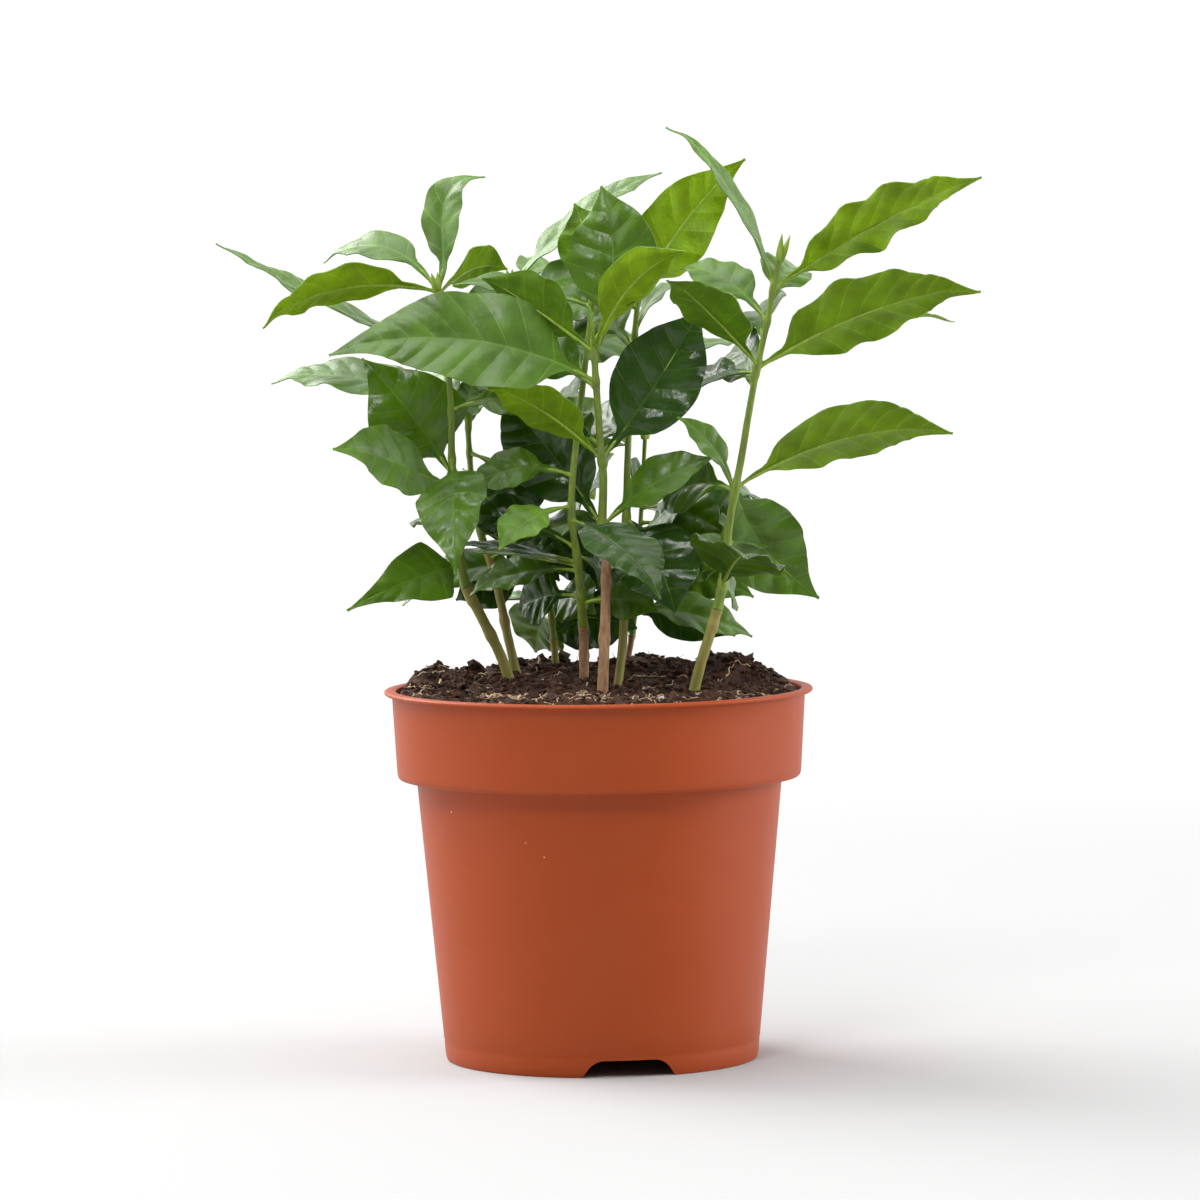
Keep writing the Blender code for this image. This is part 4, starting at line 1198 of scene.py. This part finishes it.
def blade_mesh(root, leaf, look_number, seed, swell, settings):
    """One leaf blade: a grid whose rows follow the veins, placed and swollen between them."""
    rng = random.Random(seed)
    shape_at = leaf_shape(root, leaf)
    rows = vein_rows(leaf.length - leaf.traits.get("petiole", PETIOLE_LENGTH))
    columns = [-share for share in reversed((0.0, *BLADE_COLUMNS))] + [0.0, *BLADE_COLUMNS]
    middle_column = len(BLADE_COLUMNS)
    clear_selection()
    bpy.ops.mesh.primitive_grid_add(x_subdivisions=len(columns) - 1, y_subdivisions=len(rows) - 1,
                                    size=1.0, location=(0.0, 0.0, 0.0))
    piece = bpy.context.object
    mesh = piece.data
    breadth = leaf.width / FULL_WIDTH
    quilting = settings.quilting / MM * swell * min(breadth ** 1.6, 1.2)
    wave = settings.waves / MM * leaf.traits.get("wave", 1.0) * min(breadth, 1.3)
    ripple = settings.ripples / MM * min(breadth, 1.2)
    count = rng.uniform(*WAVE_COUNTS)
    offsets = (rng.uniform(0.0, 1.0), rng.uniform(0.0, 1.0))
    droop = rng.uniform(*TIP_DROOPS) * leaf.length / FULL_LENGTH
    curl = leaf.traits.get("curl", 0.0)
    for vert in mesh.vertices:
        column = round((vert.co.x + 0.5) * (len(columns) - 1))
        row = round((vert.co.y + 0.5) * (len(rows) - 1))
        out = abs(columns[column])
        sign = -1.0 if column <= middle_column else 1.0
        share, place, gap = rows[row]
        sweep = VEIN_SWEEP * (1.0 - 0.8 * smooth_step(0.45, 1.0, share))
        swept = share + sweep * out * 4.0 * max(share, 0.0) * (1.0 - share)
        middle, side, face, half, thick = shape_at(swept if swept < 0.0 else max(swept, BLADE_FOOT))
        half *= BASE_SHARE + (1.0 - BASE_SHARE) * smooth_step(0.0, BASE_RUN, swept)
        wing = WING * smooth_step(WING_ROWS[0], 0.1, swept) * (1.0 - smooth_step(0.3, 0.9, swept))
        half = max(half, NARROWEST * (1.0 - 0.65 * smooth_step(0.95, 1.0, swept)) + wing)
        room = smooth_step(0.0, 0.6, 2.0 * half / leaf.width) * smooth_step(0.0, 0.12, swept)
        rib = min(0.5 * MIDRIB_WIDTH * (1.0 - 0.6 * share) / half, 0.5)
        across = sign * (rib + (1.0 - rib) * out)
        height = half * (GULL_RISE * abs(across) - GULL_DROP * across * across)
        height += (room * quilting * gap * math.sin(math.pi * place) ** 0.8
                   * smooth_step(0.0, 0.3, out) * (1.0 - 0.5 * out))
        girth = math.sin(math.pi * min(max(swept, 0.0), 1.0))
        height += (room * wave * math.sin(math.tau * (count * swept + offsets[sign > 0.0])) * out ** 2.2
                   * girth ** 0.5)
        place_on_blade = Vector((across * half / RIPPLE_SIZE, swept * leaf.length / RIPPLE_SIZE, 7.3 * seed))
        height += (ripple * noise.noise(place_on_blade) * (0.25 + 0.75 * out * room)
                   * smooth_step(0.0, 0.12, swept))
        height += curl * CURL_RISE * smooth_step(0.72, 1.0, out) * girth
        height -= droop * smooth_step(0.8, 1.0, swept) ** 2
        vert.co = (middle + side * (across * half * math.cos(math.radians(FOLD))) + face * height) * MM
    for face in mesh.polygons:
        corners = face.vertices
        first_row = min(corners) // len(columns)
        is_vein = rows[first_row][1] == 1.0 and rows[first_row + 1][1] == 0.0
        low = min(number % len(columns) for number in corners)
        face.material_index = look_number * 4 + (1 if is_vein or low == middle_column else 0)
    return piece


def rib_strand(root, leaf):
    """Leaf stalk and midrib as one tapering strand, half sunk in the underside."""
    shape_at = leaf_shape(root, leaf)
    points, radii = [], []
    for step in range(7):
        share = step / 7.0
        points.append(shape_at(-1.0 + share)[0])
        radii.append(STALK_RADIUS - STALK_TAPER * smooth_step(0.0, 0.35, share))
    for step in range(13):
        share = RIB_END * step / 12.0
        middle, side, face, half, thick = shape_at(max(share, BLADE_FOOT))
        radius = RIB_RADIUS - RIB_TAPER * share / RIB_END
        points.append(middle - face * (radius * 0.7))
        radii.append(radius)
    return points, radii, 1


def stem_strand(seedling, low, high, step, nodes, swelling, slim):
    """A length of stem with a swelling at each of its nodes."""
    count = max(round((high - low) / step), 2)
    points, radii = [], []
    for number in range(count + 1):
        height = low + (high - low) * number / count
        swell = sum(math.exp(-((height - node) / NODE_RUN) ** 2) for node in nodes)
        points.append(at_height(seedling["path"], height))
        share = min(max((height - seedling["bare"]) / GREEN_RUN, 0.0), 1.0)
        thin = slim[0] + (slim[1] - slim[0]) * share
        radii.append(thin * stem_radius(seedling, height) + swelling * min(swell, 1.0))
    return points, radii, 0


def bud_strands(seedling, reach):
    """Two small leaves still folded together at the stem's top."""
    top, below = seedling["path"][-1], seedling["path"][-4]
    ahead = (top - below).normalized()
    strands = []
    for turn in (40.0, 220.0):
        lean = (ahead + direction(turn, 0.0) * 0.16).normalized()
        points = [top + lean * (reach / 8.0 * step) + direction(turn, 0.0) * 0.35 for step in range(9)]
        strands.append((points, BUD_RADII, 1))
    return strands


def roughen(piece, depth, streak, size):
    """Push a stem's skin in and out by furrows that run along it."""
    mesh = piece.data
    normals = [vert.normal.copy() for vert in mesh.vertices]
    for vert, normal in zip(mesh.vertices, normals):
        point = vert.co / MM
        drawn = Vector((point.x / size, point.y / size, point.z / streak))
        vert.co += normal * depth * (noise.noise(drawn) + 0.5 * noise.noise(drawn * 2.3))


# ---------------------------------------------------------------- operators

class COFFEE_OT_make_pot(bpy.types.Operator):
    """Turn the nursery pot, cut its three arches and give it its plastic"""
    bl_idname = "coffee.make_pot"
    bl_label = "Pot"

    def execute(self, context):
        settings = context.scene.coffee_pot
        profile = pot_profile(settings.groove / MM)
        pot = raise_rings(profile, POT_SIDES)
        for number in range(FOOT_ARCHES):
            bar = arch_bar(ARCH_TURN + number * 360.0 / FOOT_ARCHES)
            modifier = pot.modifiers.new("arch", "BOOLEAN")
            modifier.operation = "DIFFERENCE"
            modifier.object = bar
            apply_modifiers(pot)
            bpy.data.objects.remove(bar, do_unlink=True)
        pot.data.materials.clear()
        pot.data.materials.append(moulded_polypropylene(settings))
        finish_piece(pot, "nursery_pot", ("pot",), 32.0)
        return {"FINISHED"}


class COFFEE_OT_make_soil(bpy.types.Operator):
    """Fill the pot with crumbled peat"""
    bl_idname = "coffee.make_soil"
    bl_label = "Soil"

    def execute(self, context):
        settings = context.scene.coffee_soil
        inset = WALL + SOIL_SIDE_GAP
        collar_foot = POT_HEIGHT - COLLAR_HEIGHT
        floor = FLOOR_HEIGHT + WALL + GAP
        edge = COLLAR_TOP_RADIUS - inset - 0.2
        side = [(BASE_RADIUS - inset - 0.9, floor), (BASE_RADIUS - inset, floor + 1.2),
                (BODY_TOP_RADIUS - inset, collar_foot), (COLLAR_FOOT_RADIUS - inset, collar_foot + 2.4),
                (edge - 0.3, SOIL_LEVEL - 6.0), (edge, SOIL_LEVEL - SOIL_EDGE_DROP)]
        rings = [edge - 0.5 - (edge - 1.0) * step / SOIL_RINGS for step in range(SOIL_RINGS + 1)]
        soil = raise_rings(side + [(radius, SOIL_LEVEL) for radius in rings], SOIL_SIDES)
        relief = settings.relief / MM
        for vert in soil.data.vertices:
            x, y = vert.co.x / MM, vert.co.y / MM
            if vert.co.z > (SOIL_LEVEL - 0.1) * MM:
                vert.co.z = soil_surface(x, y, relief) * MM
        soil.data.materials.append(
            crumbled_matter("damp peat", settings.peat, settings.fibre, 2.4, 0.92, 0.7))
        finish_piece(soil, "peat_soil", ("soil",), 60.0)
        return {"FINISHED"}


class COFFEE_OT_make_soil_bits(bpy.types.Operator):
    """Strew crumbs, perlite and fine roots over the soil"""
    bl_idname = "coffee.make_soil_bits"
    bl_label = "Crumbs, perlite and roots"

    def execute(self, context):
        settings = context.scene.coffee_soil
        relief = settings.relief / MM
        rng = random.Random(SEED)
        ball = ball_template(2)
        small = strew(ball, rng, settings.crumbs, (0.4, 1.2), 0.2, relief)
        large = strew(ball, rng, settings.crumbs // 6, (1.1, 2.6), 0.1, relief)
        chips = strew(ball, rng, settings.crumbs // 2, (1.0, 2.8), 0.15, relief, (0.12, 0.4))
        crumbs = join_pieces((small, large, chips))
        crumbs.data.materials.append(
            crumbled_matter("peat crumbs", settings.peat, settings.fibre, 1.6, 0.94, 0.5))
        finish_piece(crumbs, "peat_crumbs", (), 28.0)
        perlite = strew(ball, rng, settings.perlite_bits, (0.4, 0.9), 0.1, relief)
        perlite.data.materials.append(
            crumbled_matter("expanded perlite", settings.perlite, settings.dusty_perlite, 1.5, 0.9, 0.3))
        finish_piece(perlite, "perlite_bits", (), 60.0)
        strands = root_strands(rng, settings.roots, relief) + fibre_strands(rng, settings.fibres, relief)
        roots = strands_mesh(strands, 6, [
            stem_skin("fine roots", settings.root, settings.fibre, 0.7, 1.2, 0.1),
            stem_skin("peat fibre", settings.peat, settings.fibre, 0.85, 1.2, 0.1)])
        finish_piece(roots, "fine_roots", (), 60.0)
        return {"FINISHED"}


class COFFEE_OT_make_bark(bpy.types.Operator):
    """Give each bare stem its bark"""
    bl_idname = "coffee.make_bark"
    bl_label = "Bare stems"

    def execute(self, context):
        settle_leaves()
        settings = context.scene.coffee_stems
        wood = stem_skin("corky coffee bark", settings.wood, settings.wood_pale, 0.82, 0.9, 0.35)
        rind = stem_skin("young green bark", settings.green_bark, settings.rind_brown, 0.62, 1.1, 0.2)
        for name, seedling in SEEDLINGS.items():
            foot = seedling["path"][0].z
            split = seedling["bare"] - GAP
            nodes = (*BARK_NODES[name], seedling["bare"])
            bark = strands_mesh([stem_strand(seedling, foot, split, 0.35, nodes, 0.28, STEM_SHARES)], 24,
                                [rind if name in GREEN_STEMS else wood])
            roughen(bark, settings.relief, 4.5, 0.9)
            finish_piece(bark, "bark_" + name, ("stem_" + name,), 70.0)
        return {"FINISHED"}


class COFFEE_OT_make_twigs(bpy.types.Operator):
    """Carry each stem on as a green twig, with its leaf stalks, midribs and buds"""
    bl_idname = "coffee.make_twigs"
    bl_label = "Twigs and leaf stalks"

    def execute(self, context):
        settle_leaves()
        settings = context.scene.coffee_stems
        green = stem_skin("green coffee twig", settings.twig, settings.stalk, 0.5, 1.4, 0.12)
        stalk = stem_skin("green leaf stalk", settings.stalk, settings.stalk_pale, 0.5, 1.0, 0.05)
        for name, seedling in SEEDLINGS.items():
            top = seedling["guide"][-1][2]
            nodes = [seedling["bare"]] + [row[0] for row in seedling["leaves"]]
            strands = [stem_strand(seedling, seedling["bare"], top, 0.5, nodes, 0.25, STEM_SHARES)]
            strands += [rib_strand(root, leaf) for root, leaf in seedling["settled"]]
            strands += bud_strands(seedling, BUD_LENGTHS.get(name, BUD_LENGTH))
            twigs = strands_mesh(strands, 12, [green, stalk])
            roughen(twigs, 0.35 * settings.relief, 6.0, 1.0)
            finish_piece(twigs, "twigs_" + name, ("shoot_" + name,), 60.0)
        return {"FINISHED"}


class COFFEE_OT_make_leaves(bpy.types.Operator):
    """Grow every leaf: the settled ones of each seedling, joined into one piece"""
    bl_idname = "coffee.make_leaves"
    bl_label = "Leaves"

    def execute(self, context):
        settle_leaves()
        settings = context.scene.coffee_leaves
        slots = []
        for look, (top, top_vein, under, under_vein, rough, waxy, swell) in LEAF_LOOKS.items():
            slots += [leaf_skin(look + " coffee leaf top", top, rough, 0.02, waxy, 0.15),
                      leaf_skin(look + " coffee leaf top vein", top_vein, rough + 0.06, 0.01, waxy, 0.15),
                      leaf_skin(look + " coffee leaf underside", under, 0.55, 0.04, 0.2, 0.05),
                      leaf_skin(look + " coffee leaf underside vein", under_vein, 0.5, 0.01, 0.2, 0.05)]
        looks = list(LEAF_LOOKS)
        for name, seedling in SEEDLINGS.items():
            rng = random.Random(SEED + len(name))
            blades = []
            for number, (root, leaf) in enumerate(seedling["settled"]):
                look = leaf.look or rng.choice(SHADE_LOOKS)
                blade = blade_mesh(root, leaf, looks.index(look), SEED + number, LEAF_LOOKS[look][-1],
                                   settings)
                for material in slots:
                    blade.data.materials.append(material)
                blades.append(blade)
            leaves = join_pieces(blades)
            modifier = leaves.modifiers.new("thickness", "SOLIDIFY")
            modifier.thickness = settings.thickness
            modifier.offset = 0.0
            modifier.material_offset = 2
            modifier.material_offset_rim = 0
            apply_modifiers(leaves)
            bpy.ops.object.material_slot_remove_unused()
            finish_piece(leaves, "leaves_" + name, ("shoot_" + name,), 75.0)
        return {"FINISHED"}


class COFFEE_OT_make_stage(bpy.types.Operator):
    """Set the pale floor, the soft lights and the camera"""
    bl_idname = "coffee.make_stage"
    bl_label = "Stage"

    def execute(self, context):
        settings = context.scene.coffee_stage
        scene = context.scene
        clear_selection()
        bpy.ops.mesh.primitive_plane_add(size=FLOOR_SIDE, location=(0.0, 0.0, 0.0))
        floor = context.object
        floor.name = "floor"
        floor.data.materials.append(floor_paint(settings))
        world = bpy.data.worlds.new("studio")
        scene.world = world
        world.use_nodes = True
        tree = world.node_tree
        background = tree.nodes["Background"]
        sky = add_node(tree, "ShaderNodeTexCoord", {}).outputs["Generated"]
        split = add_node(tree, "ShaderNodeSeparateXYZ", {}, [(sky, 0)])
        depth = add_node(tree, "ShaderNodeMapRange",
                         {"From Min": -0.8, "From Max": 0.95, "To Min": 0.25, "To Max": 1.0},
                         [(split.outputs["Y"], "Value")])
        seen = add_node(tree, "ShaderNodeLightPath", {})
        strength = add_node(tree, "ShaderNodeMix", {"data_type": "FLOAT", 3: SKY_STRENGTH},
                            [(seen.outputs["Is Camera Ray"], 0), (depth.outputs["Result"], 2)])
        tree.links.new(strength.outputs[0], background.inputs["Strength"])
        background.inputs["Color"].default_value = (1.0, 1.0, 1.0, 1.0)
        for name, (place, size, power, share) in LIGHTS.items():
            clear_selection()
            bpy.ops.object.light_add(type="AREA", location=place)
            light = context.object
            light.name = name
            light.data.size = size
            light.data.energy = share * getattr(settings, power)
            aim = LIGHTS_AIM - Vector(place)
            light.rotation_euler = aim.to_track_quat("-Z", "Y").to_euler()
        bpy.ops.object.camera_add()
        camera = context.object
        camera.name = "camera"
        camera.data.sensor_width = SENSOR_WIDTH
        camera.data.lens = FOCAL_PIXELS / FRAME_SIDE * SENSOR_WIDTH
        camera.data.clip_end = 20.0
        place = Vector((CAMERA_SIDE * MM, -settings.camera_distance, settings.camera_height))
        camera.matrix_world = (Matrix.Translation(place)
                               @ Matrix.Rotation(math.radians(90.0 - CAMERA_DIP), 4, "X")
                               @ Matrix.Rotation(math.radians(CAMERA_ROLL), 4, "Z"))
        scene.camera = camera
        scene.view_settings.view_transform = "Standard"
        return {"FINISHED"}


class COFFEE_PT_panel(bpy.types.Panel):
    """Lists the pieces, each with its settings"""
    bl_idname = "COFFEE_PT_panel"
    bl_label = "Potted Coffee Plant"
    bl_space_type = "VIEW_3D"
    bl_region_type = "UI"
    bl_category = "Coffee Plant"

    def draw(self, context):
        for group, operators in PANEL_ROWS:
            box = self.layout.box()
            for operator in operators:
                box.operator(operator.bl_idname)
            settings = getattr(context.scene, group)
            for name in settings.bl_rna.properties.keys():
                if name not in ("rna_type", "name"):
                    box.prop(settings, name)


PANEL_ROWS = (
    ("coffee_pot", (COFFEE_OT_make_pot,)),
    ("coffee_soil", (COFFEE_OT_make_soil, COFFEE_OT_make_soil_bits)),
    ("coffee_stems", (COFFEE_OT_make_bark, COFFEE_OT_make_twigs)),
    ("coffee_leaves", (COFFEE_OT_make_leaves,)),
    ("coffee_stage", (COFFEE_OT_make_stage,)),
)
OPERATORS = tuple(operator for group, operators in PANEL_ROWS for operator in operators)


def register():
    for name, group in SETTINGS.items():
        bpy.utils.register_class(group)
        setattr(bpy.types.Scene, name, PointerProperty(type=group))
    for cls in (*OPERATORS, COFFEE_PT_panel):
        bpy.utils.register_class(cls)


def unregister():
    for cls in (COFFEE_PT_panel, *reversed(OPERATORS)):
        bpy.utils.unregister_class(cls)
    for name, group in reversed(list(SETTINGS.items())):
        delattr(bpy.types.Scene, name)
        bpy.utils.unregister_class(group)


def main():
    register()
    bpy.ops.coffee.make_pot()
    bpy.ops.coffee.make_soil()
    bpy.ops.coffee.make_soil_bits()
    bpy.ops.coffee.make_bark()
    bpy.ops.coffee.make_twigs()
    bpy.ops.coffee.make_leaves()
    bpy.ops.coffee.make_stage()


if __name__ == "__main__":
    main()
